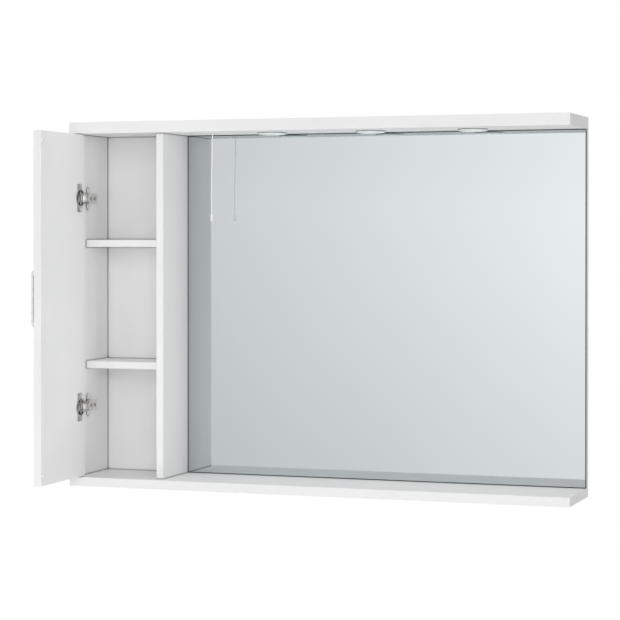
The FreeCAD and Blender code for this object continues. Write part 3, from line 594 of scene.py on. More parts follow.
FINISHES: dict[Finish, Look] = {
    # painted shade: the boards, and the hinge nickel below, get a darker colour in their joints
    Finish.BOARD: Lacquer("white_lacquer", rough=(0.5, 0.55), coat=0.0, index=1.12, joint=0.005, joint_shade_kept=0.36),
    Finish.DOOR: Lacquer("door_lacquer"),
    Finish.MIRROR: SilveredGlass("silvered_glass", silver=(0.602, 0.638, 0.646), veil=(0.594, 0.631, 0.638),
                                 edge=(0.03, 0.05, 0.045)),
    # painted shade: the handle's faces towards the door are darkened
    Finish.HANDLE: Plating("satin_chrome", (0.96, 0.96, 0.962), (0.93, 0.93, 0.935), (0.24, 0.3),
                           grain=(1, 1, 0.08), scratch=0.012, metal=0.4, inner_shade=0.25),
    Finish.BEZEL: Plating("bright_chrome", (0.46, 0.48, 0.48), (0.38, 0.4, 0.4), (0.06, 0.14)),
    # painted dark reflection: the cups' nickel is a darker copy of the hinge nickel
    Finish.CUP: Plating("cup_nickel", (0.5, 0.5, 0.49), (0.42, 0.42, 0.41), (0.05, 0.12), grain=(0.2, 0.2, 1)),
    Finish.NICKEL: Plating("hinge_nickel", (0.74, 0.73, 0.72), (0.6, 0.59, 0.58), (0.06, 0.14),
                           grain=(0.2, 0.2, 1), joint=0.006),
    # painted light: the lens glows faintly
    Finish.LENS: FrostedGlass("frosted_lens", (0.9, 0.95, 0.93), (0.84, 0.92, 0.89), (0.12, 0.24), clear=0.3,
                              light=(0.94, 1.0, 0.98), glow=0.17),
    Finish.PLASTIC: Moulding("white_moulding", (0.88, 0.88, 0.87), (0.84, 0.84, 0.83), (0.28, 0.42), milky=0.5),
    Finish.KNOB: Moulding("knob_moulding", (0.97, 0.97, 0.97), (0.95, 0.95, 0.95), (0.2, 0.3)),
    Finish.CORD: BraidedNylon("braided_nylon", (0.98, 0.98, 0.98), (0.94, 0.94, 0.94)),
    Finish.PAD: Moulding("clear_pad", (0.9, 0.9, 0.9), (0.86, 0.86, 0.86), (0.2, 0.3), pore_scale=600.0,
                         pore_share=0.05, milky=0.6),
    Finish.BEECH: Timber("beech_dowel", (0.74, 0.57, 0.38), (0.6, 0.42, 0.26)),
    Finish.ZINC: Plating("zinc_plate", (0.78, 0.79, 0.8), (0.64, 0.65, 0.66), (0.28, 0.42), scratch=0.08, metal=0.7),
    Finish.FOAM: Moulding("foam_tape", (0.78, 0.78, 0.76), (0.68, 0.68, 0.66), (0.7, 0.9), pore_scale=1500.0,
                          pore_share=0.3),
    Finish.CAN: Plating("spun_aluminium", (0.74, 0.75, 0.76), (0.62, 0.63, 0.64), (0.25, 0.4), grain=(1, 1, 8)),
    Finish.LAMP_BOARD: Moulding("lamp_board", (0.88, 0.86, 0.78), (0.8, 0.77, 0.66), (0.35, 0.5)),
    Finish.SHEATH: Moulding("lead_sheath", (0.86, 0.86, 0.85), (0.78, 0.78, 0.77), (0.4, 0.55)),
    Finish.RUBBER: Moulding("grommet_rubber", (0.06, 0.06, 0.06), (0.03, 0.03, 0.03), (0.55, 0.75),
                            pore_scale=700.0, pore_share=0.2),
}


class Palette:
    """Materials of the cabinet, each made when it is first asked for."""

    def __init__(self) -> None:
        """Starts with no material made."""
        self.made: dict[Finish, bpy.types.Material] = {}

    def material(self, finish: Finish) -> bpy.types.Material:
        """The material of a finish.

        Args:
            finish: Which finish is wanted.

        Returns:
            The material, made once.
        """
        if finish not in self.made:
            self.made[finish] = FINISHES[finish].material()
        return self.made[finish]


def paint(piece: bpy.types.Object, material: bpy.types.Material) -> None:
    """Gives a piece one material all over.

    Args:
        piece: Object to dress.
        material: Finish that it gets.
    """
    piece.data.materials.clear()
    piece.data.materials.append(material)


def piece_from(shape: bmesh.types.BMesh, name: str, smooth_angle: float = 40.0) -> bpy.types.Object:
    """Makes an object at the origin from a bmesh and frees it.

    Args:
        shape: Finished mesh in the cabinet's frame.
        name: Name of the piece.
        smooth_angle: Edges sharper than this stay sharp, in degrees.

    Returns:
        The new object.
    """
    bmesh.ops.recalc_face_normals(shape, faces=shape.faces)
    limit = math.radians(smooth_angle)
    for face in shape.faces:
        face.smooth = True
    for edge in shape.edges:
        edge.smooth = edge.is_manifold and edge.calc_face_angle(0.0) < limit
    mesh = bpy.data.meshes.new(name)
    shape.to_mesh(mesh)
    shape.free()
    piece = bpy.data.objects.new(name, mesh)
    bpy.context.scene.collection.objects.link(piece)
    return piece


def new_points(grown: dict[str, list]) -> list[bmesh.types.BMVert]:
    """The points that an extrusion has added."""
    return [item for item in grown["geom"] if isinstance(item, bmesh.types.BMVert)]


def round_off(shape: bmesh.types.BMesh, geom: Sequence[bmesh.types.BMEdge | bmesh.types.BMVert], reach: float,
              steps: int, kind: Rounded = Rounded.EDGES) -> None:
    """Rounds edges or corners of a mesh.

    Args:
        shape: Mesh that they belong to.
        geom: Edges or corners to round.
        reach: How far the rounding reaches from them.
        steps: Steps of the rounding.
        kind: Which of the two they are.
    """
    bmesh.ops.bevel(shape, geom=geom, offset=reach, affect=kind.value, segments=steps, profile=0.5, material=-1)


@dataclass(frozen=True)
class UprightRound:
    """Axis, radius and ends of an upright round solid."""

    x: float
    y: float
    radius: float
    bottom: float
    top: float

    @classmethod
    def of(cls, node: str) -> UprightRound:
        """Reads them from the box of a node.

        Args:
            node: Name of the solid's node.

        Returns:
            The solid's axis, radius and ends.
        """
        low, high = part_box(node)
        return cls((low[0] + high[0]) / 2, (low[1] + high[1]) / 2, (high[0] - low[0]) / 2, low[2], high[2])


def turned(profile: Sequence[Pair], solid: UprightRound, steps: int) -> bmesh.types.BMesh:
    """Spins a profile about the axis of an upright solid.

    Args:
        profile: Pairs of radius and height, from the axis to the axis.
        solid: Solid whose axis is used.
        steps: Steps of the full turn.

    Returns:
        The closed round mesh.
    """
    shape = bmesh.new()
    verts = [shape.verts.new((solid.x + out, solid.y, z)) for out, z in profile]
    line = [shape.edges.new(pair) for pair in zip(verts, verts[1:])]
    bmesh.ops.spin(shape, geom=verts + line, cent=(solid.x, solid.y, 0.0), axis=(0, 0, 1), angle=FULL_TURN,
                   steps=steps, use_merge=True, use_duplicate=False)
    bmesh.ops.remove_doubles(shape, verts=shape.verts, dist=TOUCH)
    return shape


def level_edges(shape: bmesh.types.BMesh, height: float) -> list[bmesh.types.BMEdge]:
    """Edges of a turned mesh that run round it at one height.

    Args:
        shape: Mesh made by turning a profile.
        height: Height of the edges.

    Returns:
        The edges, without those that lie in a flat end.
    """
    level = [edge for edge in shape.edges if all(abs(vert.co.z - height) < TOUCH for vert in edge.verts)]
    return [edge for edge in level if edge.calc_face_angle(0.0) > FLAT]


@dataclass
class ScrewPlace:
    """Where one screw of a group lies, read from its solid."""

    head: Vector
    inward: Vector
    head_radius: float
    shank_radius: float
    length: float


@dataclass
class CrossScrews:
    """Countersunk screws with a cross recess, in place of a group of plain ones.

    The recess's reach, width and depth and the edge are shares of the head's radius, the taper is one of the
    recess's own width, the tip is one of the shank's radius, and the two starts are shares of the length.
    """

    node: str
    plain: bpy.types.Object
    metal: bpy.types.Material
    body: Body
    proud: float = 0.0
    recess_reach: float = 0.62
    recess_width: float = 0.2
    recess_depth: float = 0.45
    recess_taper: float = 0.72
    edge_round: float = 0.06
    shank_start: float = 0.9
    point_start: float = 0.82
    tip_share: float = 0.1
    smooth_angle: float = 30.0

    def places(self) -> list[ScrewPlace]:
        """Reads each screw's place and sizes from the group's solids.

        Returns:
            One place for each separate solid.
        """
        shape = bmesh.new()
        shape.from_mesh(self.plain.data)
        bmesh.ops.remove_doubles(shape, verts=shape.verts, dist=TOUCH)
        found: list[ScrewPlace] = []
        known: set[bmesh.types.BMVert] = set()
        for start in shape.verts:
            if start in known:
                continue
            known.add(start)
            island = [start]
            for vert in island:  # the list grows as it is walked
                near = [link.other_vert(vert) for link in vert.link_edges]
                fresh = [other for other in near if other not in known]
                known.update(fresh)
                island.extend(fresh)
            found.append(self.measure([vert.co.copy() for vert in island]))
        shape.free()
        return found

    def measure(self, points: Sequence[Vector]) -> ScrewPlace:
        """Finds a screw's head, direction and sizes from its points.

        Args:
            points: Corners of one screw's solid.

        Returns:
            The screw's place.
        """
        low = Vector([min(point[axis] for point in points) for axis in range(3)])
        high = Vector([max(point[axis] for point in points) for axis in range(3)])
        size, middle = high - low, (low + high) / 2
        along = max(range(3), key=lambda axis: size[axis])

        def off_axis(point: Vector) -> float:
            """Distance of a point from the screw's axis."""
            aside = point - middle
            aside[along] = 0.0
            return aside.length

        widest = max(points, key=off_axis)
        at_top = widest[along] > middle[along]
        head = middle.copy()
        head[along] = high[along] if at_top else low[along]
        inward = Vector((0.0, 0.0, 0.0))
        inward[along] = -1.0 if at_top else 1.0
        deep = self.shank_start * size[along]
        shank = max(off_axis(point) for point in points if (point - head).dot(inward) > deep)
        return ScrewPlace(head, inward, off_axis(widest), shank, size[along])

    def face(self, shape: bmesh.types.BMesh, radius: float) -> list[bmesh.types.BMVert]:
        """Makes a head's flat face, which looks along +Z, and sinks the cross recess into it.

        Args:
            shape: Empty mesh that it is made in.
            radius: Radius of the head.

        Returns:
            The points of the face's rim.
        """
        lines = [0.0, self.recess_width, self.recess_reach]
        half = len(lines)
        grid = bmesh.ops.create_grid(shape, x_segments=2 * half, y_segments=2 * half, size=half)["verts"]
        rim = [vert for vert in grid if vert.is_boundary]
        for vert in grid:
            if vert.is_boundary:
                vert.co = vert.co.normalized() * radius * (1 - self.edge_round)
                continue
            for axis in range(2):
                step = vert.co[axis]
                vert.co[axis] = math.copysign(lines[round(abs(step))], step) * radius
        cross = [face for face in shape.faces if self.in_cross(face.calc_center_median() / radius)]
        floor = new_points(bmesh.ops.extrude_face_region(shape, geom=cross))
        bmesh.ops.delete(shape, geom=cross, context="FACES")
        bmesh.ops.scale(shape, vec=(self.recess_taper, self.recess_taper, 1.0), verts=floor)
        bmesh.ops.translate(shape, vec=(0, 0, -self.recess_depth * radius), verts=floor)
        return rim

    def in_cross(self, centre: Vector) -> bool:
        """Whether a face of the head's grid lies in its cross recess."""
        across = sorted((abs(centre.x), abs(centre.y)))
        return across[0] < self.recess_width and across[1] < self.recess_reach

    def stem(self, shape: bmesh.types.BMesh, rim: list[bmesh.types.BMVert], place: ScrewPlace) -> None:
        """Grows the edge, countersink, shank and point from a head's rim.

        Args:
            shape: Mesh with the head's face.
            rim: Points of the face's rim.
            place: The screw's sizes.
        """
        head, shank, length = place.head_radius, place.shank_radius, place.length
        rings = ((head, self.edge_round * head), (shank, head - shank), (shank, length * self.point_start),
                 (shank * self.tip_share, length))
        verts = rim
        for radius, depth in rings:
            verts = new_points(bmesh.ops.extrude_edge_only(shape, edges=self.open_edges(shape, verts)))
            for vert in verts:
                flat = Vector((vert.co.x, vert.co.y)).normalized() * radius
                vert.co = Vector((flat.x, flat.y, -depth))
        bmesh.ops.holes_fill(shape, edges=self.open_edges(shape, verts), sides=0)

    @staticmethod
    def open_edges(shape: bmesh.types.BMesh, ring: Sequence[bmesh.types.BMVert]) -> list[bmesh.types.BMEdge]:
        """Edges between a ring's points that have a face on one side only."""
        return [edge for edge in shape.edges if edge.is_boundary and all(vert in ring for vert in edge.verts)]

    def one_screw(self, place: ScrewPlace) -> bpy.types.Mesh:
        """Makes one screw: recessed head, countersink, shank and point.

        Args:
            place: Where the screw lies and how large it is.

        Returns:
            The screw's mesh, in its place.
        """
        shape = bmesh.new()
        rim = self.face(shape, place.head_radius)
        self.stem(shape, rim, place)
        turn = Vector((0, 0, -1)).rotation_difference(place.inward).to_matrix().to_4x4()
        seat = Matrix.Translation(place.head - place.inward * self.proud)
        bmesh.ops.transform(shape, matrix=seat @ turn, verts=shape.verts)
        mesh = bpy.data.meshes.new("one_screw")
        shape.to_mesh(mesh)
        shape.free()
        return mesh

    def build(self) -> None:
        """Makes the group's screws and stands them in for the plain ones."""
        shape = bmesh.new()
        spots = self.places()
        for spot in spots:
            mesh = self.one_screw(spot)
            shape.from_mesh(mesh)
            bpy.data.meshes.remove(mesh)
        piece = piece_from(shape, self.node + "_cross", self.smooth_angle)
        paint(piece, self.metal)
        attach(piece, self.body.value)
        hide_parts(self.node)
        log.info("built %d cross-head screws for %s", len(spots), self.node)


@dataclass
class SubAssembly:
    """A group of pieces that are dressed together, with the new pieces that belong to them."""

    palette: Palette
    nodes: dict[str, bpy.types.Object]

    def wears(self) -> dict[Finish, tuple[str, ...]]:
        """The CAD pieces that each finish goes on."""
        return {}

    def dress(self) -> None:
        """Gives every CAD piece of the group its finish."""
        for finish, names in self.wears().items():
            for name in names:
                paint(self.nodes[name], self.palette.material(finish))
                log.info("dressed %s in %s", name, finish.value)

    def build(self) -> None:
        """Makes the group's new pieces; some groups have none."""

    def screws(self, group: str, body: Body, proud: float = 0.0) -> None:
        """Puts cross-head screws in place of a group of plain ones.

        Args:
            group: Name of the group's node.
            body: Body that they ride on.
            proud: How far the heads stand out of the surface.
        """
        CrossScrews(group, self.nodes[group], self.palette.material(Finish.ZINC), body, proud).build()


@dataclass
class Carcass(SubAssembly):
    """The cabinet's boards with what joins and hangs them."""

    boards: tuple[str, ...] = ("top_panel", "top_cover", "bottom_panel", "side_panel", "divider_panel", "back_board",
                               "upper_shelf", "lower_shelf")
    screw_groups: tuple[str, ...] = ("panel_screws", "top_cover_screws", "hanger_screws")

    def wears(self) -> dict[Finish, tuple[str, ...]]:
        """Boards in lacquer, dowels in beech and hangers in zinc."""
        return {Finish.BOARD: self.boards, Finish.BEECH: ("panel_dowels",), Finish.ZINC: ("hanger_plates",)}

    def build(self) -> None:
        """Makes the screws of the boards, cover and hangers."""
        for group in self.screw_groups:
            self.screws(group, Body.CARCASS)


@dataclass
class Mirror(SubAssembly):
    """The silvered pane and the tape behind it."""

    def wears(self) -> dict[Finish, tuple[str, ...]]:
        """The pane in silver and the tape in foam."""
        return {Finish.MIRROR: ("mirror_glass",), Finish.FOAM: ("mirror_tapes",)}


@dataclass
class Door(SubAssembly):
    """The cupboard's door with its handle and pads."""

    def wears(self) -> dict[Finish, tuple[str, ...]]:
        """The board in lacquer, the handle in satin chrome and its fixings plain."""
        return {Finish.DOOR: ("door_panel",), Finish.HANDLE: ("door_handle",), Finish.ZINC: ("door_handle_screws",),
                Finish.PLASTIC: ("door_handle_caps",), Finish.PAD: ("door_bumpers",)}


@dataclass
class HingePair(SubAssembly):
    """The two concealed hinges, each on its plate and in its cup.

    The span of the wings runs along Y from the cup's middle.
    """

    hinges: tuple[str, ...] = ("upper", "lower")
    pressings: tuple[str, ...] = ("plate", "arm", "main_link", "side_link")
    wing_span: Span = (-0.0135, 0.0066)
    wing_corner: float = 0.003
    corner_steps: int = 4
    wing_edge: float = 0.0004
    edge_steps: int = 2
    wing_proud: float = 0.00015
    head_proud: float = 0.0004
    flange_sheet: float = 0.0012
    well_radius: float = 0.0167
    arc_steps: int = 12

    def wears(self) -> dict[Finish, tuple[str, ...]]:
        """Cups in a darker copy of the nickel that paints in their dark reflections, every other pressing, pin and
        adjuster in plain nickel.
        """
        pressed = tuple(f"{hinge}_hinge_{piece}" for hinge in self.hinges for piece in self.pressings)
        cups = tuple(f"{hinge}_hinge_cup" for hinge in self.hinges)
        return {Finish.CUP: cups, Finish.NICKEL: (*pressed, "hinge_arm_pins", "hinge_cup_pins", "hinge_adjusters")}

    def wings(self, hinge: str) -> None:
        """Makes the wide wings of one cup's flange, which lie over the plain ones.

        Args:
            hinge: Which hinge the cup belongs to.
        """
        low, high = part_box(f"{hinge}_hinge_cup")
        y, z, tip = (low[1] + high[1]) / 2, (low[2] + high[2]) / 2, (high[2] - low[2]) / 2
        near, far = self.wing_span
        first, last = math.acos(near / self.well_radius), math.acos(far / self.well_radius)
        turns = [first + (last - first) * step / self.arc_steps for step in range(self.arc_steps + 1)]
        outline = [(self.well_radius * math.cos(turn), self.well_radius * math.sin(turn)) for turn in turns]
        outline += [(far, tip), (near, tip)]
        shape = bmesh.new()
        for side in (-1, 1):
            spots = [(high[0] - self.flange_sheet, y + across, z + side * up) for across, up in outline]
            shape.faces.new([shape.verts.new(spot) for spot in spots])
        corners = [vert for vert in shape.verts if abs(abs(vert.co.z - z) - tip) < TOUCH]
        round_off(shape, corners, self.wing_corner, self.corner_steps, Rounded.CORNERS)
        front = new_points(bmesh.ops.extrude_face_region(shape, geom=shape.faces[:]))
        bmesh.ops.translate(shape, vec=(self.flange_sheet + self.wing_proud, 0, 0), verts=front)
        rim = [edge for edge in shape.edges if all(vert in front for vert in edge.verts)]
        round_off(shape, rim, self.wing_edge, self.edge_steps)
        piece = piece_from(shape, f"{hinge}_cup_wings")
        # painted dark reflection: the wings take the darker cup nickel
        paint(piece, self.palette.material(Finish.CUP))
        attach(piece, Body.DOOR.value)
        log.info("built the wings of the %s cup", hinge)

    def build(self) -> None:
        """Makes the cups' wings and the screws of the plates and of the cups."""
        for hinge in self.hinges:
            self.wings(hinge)
        self.screws("hinge_plate_screws", Body.CARCASS)
        self.screws("hinge_cup_screws", Body.DOOR, self.head_proud)


@dataclass
class DownlightRow(SubAssembly):
    """The three lamps in the underside of the top panel.

    The crown's pairs are shares of a lens's radius and of the depth below its edge.
    """

    lights: tuple[str, ...] = ("left", "middle", "right")
    plug_inset: float = 0.0052
    seat: float = 0.002
    wall: float = 0.0019
    wall_round: float = 0.0006
    round_steps: int = 3
    crown: tuple[Pair, ...] = ((0.84, 0.45), (0.6, 0.8), (0.3, 0.97), (0.0, 1.0))
    steps: int = 72

    def wears(self) -> dict[Finish, tuple[str, ...]]:
        """Bezels in chrome, lenses in frosted glass and what lies behind them."""
        parts = {Finish.BEZEL: "bezel", Finish.LENS: "lens", Finish.CAN: "housing", Finish.LAMP_BOARD: "board"}
        worn = {finish: tuple(f"{light}_light_{part}" for light in self.lights) for finish, part in parts.items()}
        return {**worn, Finish.ZINC: ("light_clips",)}

    def lens(self, light: str) -> None:
        """Makes one pressed lens with an upright edge and a flat crown, in place of the plain dome.

        Args:
            light: Which lamp it belongs to.
        """
        node = f"{light}_light_lens"
        dome = UprightRound.of(node)
        plug, shoulder = dome.radius - self.plug_inset, dome.top - self.seat
        edge = shoulder - self.wall
        profile = [(0.0, dome.top), (plug, dome.top), (plug, shoulder), (dome.radius, shoulder), (dome.radius, edge)]
        profile += [(share * dome.radius, edge + fall * (dome.bottom - edge)) for share, fall in self.crown]
        shape = turned(profile, dome, self.steps)
        round_off(shape, level_edges(shape, edge), self.wall_round, self.round_steps)
        piece = piece_from(shape, f"{light}_light_dome")
        paint(piece, self.palette.material(Finish.LENS))
        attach(piece, Body.CARCASS.value)
        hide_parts(node)
        log.info("built the %s lens", light)

    def build(self) -> None:
        """Makes the three lenses."""
        for light in self.lights:
            self.lens(light)


@dataclass
class Electrics(SubAssembly):
    """Driver, leads and the pull switch in the lamp tray."""

    spring_wire: float = 0.0008
    spring_turns: float = 2.5
    turn_steps: int = 28
    wire_sides: int = 10
    wire_smooth: float = 80.0
    pull_travel: float = 0.006

    def wears(self) -> dict[Finish, tuple[str, ...]]:
        """Mouldings in white, leads in their sheath, the grommet in rubber."""
        mouldings = ("led_driver", "terminal_block", "switch_body", "switch_plunger", "cord_guide")
        return {Finish.PLASTIC: mouldings, Finish.SHEATH: ("lamp_leads", "mains_leads"),
                Finish.RUBBER: ("cable_grommet",), Finish.ZINC: ("switch_spring",)}

    def build(self) -> None:
        """Winds the switch's return spring at rest; the real spring shortens as the cord is pulled."""
        sleeve = UprightRound.of("switch_spring")
        x, y, foot = sleeve.x, sleeve.y, sleeve.bottom
        wire, height = self.spring_wire / 2, sleeve.top - foot
        steps = round(self.spring_turns * self.turn_steps)
        shape = bmesh.new()
        bmesh.ops.create_circle(shape, cap_ends=True, segments=self.wire_sides, radius=wire)
        start = Matrix.Translation((x + sleeve.radius - wire, y, foot + wire)) @ Matrix.Rotation(math.pi / 2, 4, "X")
        bmesh.ops.transform(shape, matrix=start, verts=shape.verts)
        bmesh.ops.spin(shape, geom=[*shape.verts, *shape.edges, *shape.faces], cent=(x, y, 0.0), axis=(0, 0, 1),
                       dvec=(0, 0, (height - 2 * wire) / steps), angle=self.spring_turns * FULL_TURN, steps=steps)
        spring = piece_from(shape, "switch_coil_spring", self.wire_smooth)
        paint(spring, self.palette.material(Finish.ZINC))
        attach(spring, Body.CARCASS.value)
        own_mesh(spring)
        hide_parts("switch_spring")
        log.info("built the switch's spring, %.1f turns", self.spring_turns)


@dataclass
class PullCord(SubAssembly):
    """The braided cord that hangs from the switch to its knob, along the route of its solid."""

    route: tuple[Point, ...] = (
        (-0.2407, -0.085, 0.3485),
        (-0.2406, -0.085, 0.3091),
        (-0.2426, -0.085, 0.2665),
        (-0.243, -0.085, 0.2239),
        (-0.2425, -0.085, 0.1865),
    )
    diameter: float = 0.002
    length: float = 0.162
    round_steps: int = 5
    run_steps: int = 16
    line_order: int = 3
    point_weight: float = 1.0
    knob_radius: float = 0.0022
    knob_neck: float = 0.00125
    knob_shoulder: float = 0.0026
    knob_round: float = 0.0006
    knob_round_steps: int = 3
    knob_steps: int = 32

    def wears(self) -> dict[Finish, tuple[str, ...]]:
        """The knob in bright white and the cord in nylon."""
        return {Finish.CORD: ("pull_cord",), Finish.KNOB: ("cord_knob",)}

    def knob(self) -> bpy.types.Object:
        """Makes the slim turned knob on the cord's end, in place of the plain one.

        Returns:
            The knob.
        """
        plain = UprightRound.of("cord_knob")
        shoulder = plain.top - self.knob_shoulder
        profile = [(0.0, plain.top), (self.knob_neck, plain.top), (self.knob_radius, shoulder),
                   (self.knob_radius, plain.bottom), (0.0, plain.bottom)]
        shape = turned(profile, plain, self.knob_steps)
        for height in (shoulder, plain.bottom):
            round_off(shape, level_edges(shape, height), self.knob_round, self.knob_round_steps)
        knob = piece_from(shape, "slim_cord_knob")
        paint(knob, self.palette.material(Finish.KNOB))
        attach(knob, Body.PULL.value)
        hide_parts("cord_knob")
        log.info("built the knob of the pull cord")
        return knob

    def line(self) -> bpy.types.Curve:
        """Makes the cord's smooth line, with its thickness.

        Returns:
            The curve along the route.
        """
        curve = bpy.data.curves.new("braided_pull_cord", "CURVE")
        curve.dimensions = "3D"
        curve.bevel_depth = self.diameter / 2
        curve.bevel_resolution = self.round_steps
        curve.resolution_u = self.run_steps
        curve.use_fill_caps = True
        line = curve.splines.new("NURBS")
        line.points.add(len(self.route) - 1)
        for point, place in zip(line.points, self.route):
            point.co = (*place, self.point_weight)
        line.order_u = self.line_order
        line.use_endpoint_u = True
        return curve

    def build(self) -> None:
        """Makes the knob and the cord, and logs the cord's length."""
        knob = self.knob()
        cord = bpy.data.objects.new("braided_pull_cord", self.line())
        bpy.context.scene.collection.objects.link(cord)
        paint(cord, self.palette.material(Finish.CORD))
        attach(cord, Body.PULL.value)
        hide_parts("pull_cord")
        log.info("built the pull cord, %.0f mm long", self.length * MM_PER_METRE)


@dataclass(frozen=True)
class Softbox:
    """A soft lamp: where it hangs and points, its sides, power and the angle of its beam."""

    name: str
    place: Point
    aim: Point
    sides: Pair
    watts: float
    beam: float = 180.0

    def hang(self) -> None:
        """Puts the lamp into the scene, out of sight of the camera and of reflections."""
        data = bpy.data.lights.new(self.name, "AREA")
        data.shape = "RECTANGLE"
        data.size, data.size_y = self.sides
        data.energy = self.watts
        data.spread = math.radians(self.beam)
        lamp = bpy.data.objects.new(self.name, data)
        lamp.location = self.place
        lamp.rotation_euler = (Vector(self.aim) - Vector(self.place)).to_track_quat("-Z", "Y").to_euler()
        lamp.visible_glossy = False
        lamp.visible_camera = False
        bpy.context.scene.collection.objects.link(lamp)


class Sky(NodeGraph):
    """The world's node tree, with ramps over the axes of the direction looked in."""

    def __init__(self) -> None:
        """Starts an empty world."""
        world = bpy.data.worlds.new("studio")
        bpy.context.scene.world = world
        world.use_nodes = True
        super().__init__(world.node_tree)
        self.tree.nodes.clear()
        way = self.add("ShaderNodeTexCoord").outputs["Generated"]
        self.axes = self.add("ShaderNodeSeparateXYZ", Vector=way).outputs

    def ramp(self, axis: Axis, stops: Stops) -> Socket:
        """A brightness over one axis, whose places run from 0 at -1 to 1 at +1.

        Args:
            axis: Axis of the direction.
            stops: Pairs of place and brightness.

        Returns:
            The brightness socket.
        """
        half = self.add("ShaderNodeMapRange", Value=self.axes[axis.value], From_Min=-1.0)
        ramp = self.add("ShaderNodeValToRGB", Fac=half.outputs["Result"])
        for place, _ in stops[1:-1]:
            ramp.color_ramp.elements.new(place)
        for element, (place, value) in zip(ramp.color_ramp.elements, stops):
            element.position = place
            element.color = (value, value, value, 1.0)
        return ramp.outputs["Color"]

    def shine(self, strength: Socket) -> None:
        """Makes the world shine white at a strength."""
        glow = self.add("ShaderNodeBackground", Color=(1.0, 1.0, 1.0, 1.0), Strength=strength)
        self.add("ShaderNodeOutputWorld", Surface=glow.outputs["Background"])


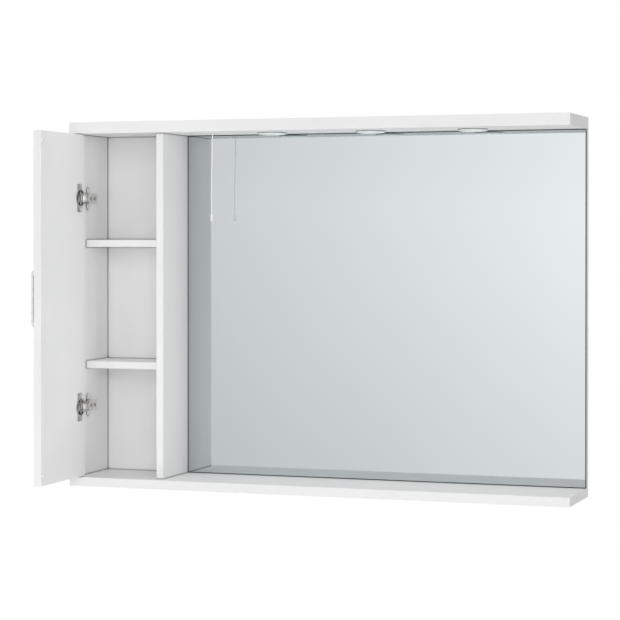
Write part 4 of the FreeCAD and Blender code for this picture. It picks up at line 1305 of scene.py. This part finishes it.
@dataclass
class Studio:
    """Camera, floor, lamps and surroundings.

    The ramps give what reflections show along X, Z and Y, and the dome is the light that falls on the cabinet.
    """

    camera_place: Point = (1.36183, -4.03685, 0.1378)
    camera_yaw: float = 0.338158
    camera_dip: float = 0.008591
    focal_pixels: float = 2069.195
    axis_pixel: float = 255.226
    sensor_width: float = 36.0
    floor_level: float = -0.9
    floor_half: float = 2.2
    floor_cells: int = 8
    floor_colours: tuple[Colour, Colour] = ((0.9, 0.9, 0.9), (0.92, 0.92, 0.92))
    floor_cloud: float = 2.0
    floor_rough: float = 0.9
    floor_lift: float = 0.52
    ambient: float = 0.84
    reflected: float = 1.32
    backdrop: float = 1.0
    aside: Stops = ((0.0, 0.25), (0.22, 0.42), (0.315, 0.74), (0.355, 0.86), (0.395, 0.98), (0.45, 1.0), (0.75, 0.9),
                    (1.0, 0.5))
    upward: Stops = ((0.0, 0.4), (0.42, 0.8), (0.449, 0.88), (0.49, 1.0), (0.507, 1.03), (0.52, 1.0), (1.0, 1.0))
    behind: Stops = ((0.0, 1.0), (0.5, 1.0), (0.7, 0.5), (1.0, 0.4))
    dome: Stops = ((0.0, 0.6), (0.5, 0.58), (0.75, 0.78), (1.0, 1.0))
    softboxes: tuple[Softbox, ...] = (
        Softbox("front_softbox", (0.85, -4.2, 0.6), (0.0, 0.0, 0.0), (3.0, 3.0), 57.0),
        Softbox("door_strip", (1.6, -1.1, 0.25), (-0.5, -0.24, 0.12), (0.2, 0.9), 0.115, 10.0),
        Softbox("low_bounce", (0.1, -0.6, -0.85), (0.1, -0.085, 0.35), (1.8, 0.3), 0.45, 60.0),
        Softbox("pane_bounce", (0.12, -0.028, 0.0), (0.12, -1.0, 0.0), (0.76, 0.68), 0.5),
        Softbox("cord_bounce", (-0.2415, -0.028, 0.25), (-0.2415, -1.0, 0.25), (0.03, 0.2), 0.007, 60.0),
    )

    def camera(self) -> None:
        """Sets the camera where the photograph was taken from."""
        data = bpy.data.cameras.new("camera")
        data.sensor_width = self.sensor_width
        data.lens = self.focal_pixels * data.sensor_width / IMAGE_SIDE
        data.shift_y = (self.axis_pixel - IMAGE_SIDE / 2) / IMAGE_SIDE
        camera = bpy.data.objects.new("camera", data)
        camera.location = self.camera_place
        camera.rotation_euler = (math.pi / 2 - self.camera_dip, 0.0, self.camera_yaw)
        bpy.context.scene.collection.objects.link(camera)
        bpy.context.scene.camera = camera

    def floor_finish(self) -> bpy.types.Material:
        """Makes the floor's matt finish, which is lifted to white only where it is looked at.

        Returns:
            The material.
        """
        sheet = NodeSheet("pale_floor")
        cloud = sheet.noise(sheet.place(), self.floor_cloud)
        sheet.set(Base_Color=sheet.between(cloud, *self.floor_colours), Roughness=self.floor_rough)
        lift = sheet.maths("MULTIPLY", sheet.seen_rays(), self.floor_lift)
        glow = sheet.add("ShaderNodeEmission", Strength=lift)
        both = sheet.add("ShaderNodeAddShader")
        for target, shader in zip(both.inputs, (sheet.shader.outputs["BSDF"], glow.outputs["Emission"])):
            sheet.give(target, shader)
        sheet.feed(sheet.output, Surface=both.outputs["Shader"])
        return sheet.material

    def floor(self) -> None:
        """Lays a pale floor well below the cabinet, which looks white and keeps shadows."""
        shape = bmesh.new()
        bmesh.ops.create_grid(shape, x_segments=self.floor_cells, y_segments=self.floor_cells, size=self.floor_half)
        bmesh.ops.translate(shape, vec=(0, 0, self.floor_level), verts=shape.verts)
        floor = piece_from(shape, "pale_floor")
        paint(floor, self.floor_finish())
        floor.visible_glossy = False

    def surroundings(self) -> None:
        """Lights the room evenly, with a white backdrop and a gentle gradient for reflections."""
        sky = Sky()
        seen = sky.maths("MULTIPLY", sky.ramp(Axis.X, self.aside), sky.ramp(Axis.Z, self.upward))
        seen = sky.maths("MULTIPLY", seen, sky.ramp(Axis.Y, self.behind))
        mirrored = sky.maths("MULTIPLY", seen, self.reflected)
        light = sky.maths("MULTIPLY", sky.ramp(Axis.Z, self.dome), self.ambient)
        glossy = sky.add("ShaderNodeLightPath").outputs["Is Glossy Ray"]
        strength = sky.mix(Mixed.FLOAT, glossy, light, mirrored)
        sky.shine(sky.mix(Mixed.FLOAT, sky.seen_rays(), strength, self.backdrop))

    def build(self) -> None:
        """Sets up the whole studio."""
        self.camera()
        self.floor()
        self.surroundings()
        for softbox in self.softboxes:
            softbox.hang()
        bpy.context.scene.view_settings.view_transform = "Standard"
        log.info("set up the studio")


SUB_ASSEMBLIES: tuple[type[SubAssembly], ...] = (Carcass, Mirror, Door, HingePair, DownlightRow, Electrics, PullCord)


def main() -> None:
    """Loads the frame, sets up the studio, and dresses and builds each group."""
    logging.basicConfig(level=logging.INFO, format="%(message)s")
    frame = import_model()
    Studio().build()
    palette = Palette()
    for kind in SUB_ASSEMBLIES:
        group = kind(palette, frame["nodes"])
        group.dress()
        group.build()


if __name__ == "__main__":
    main()
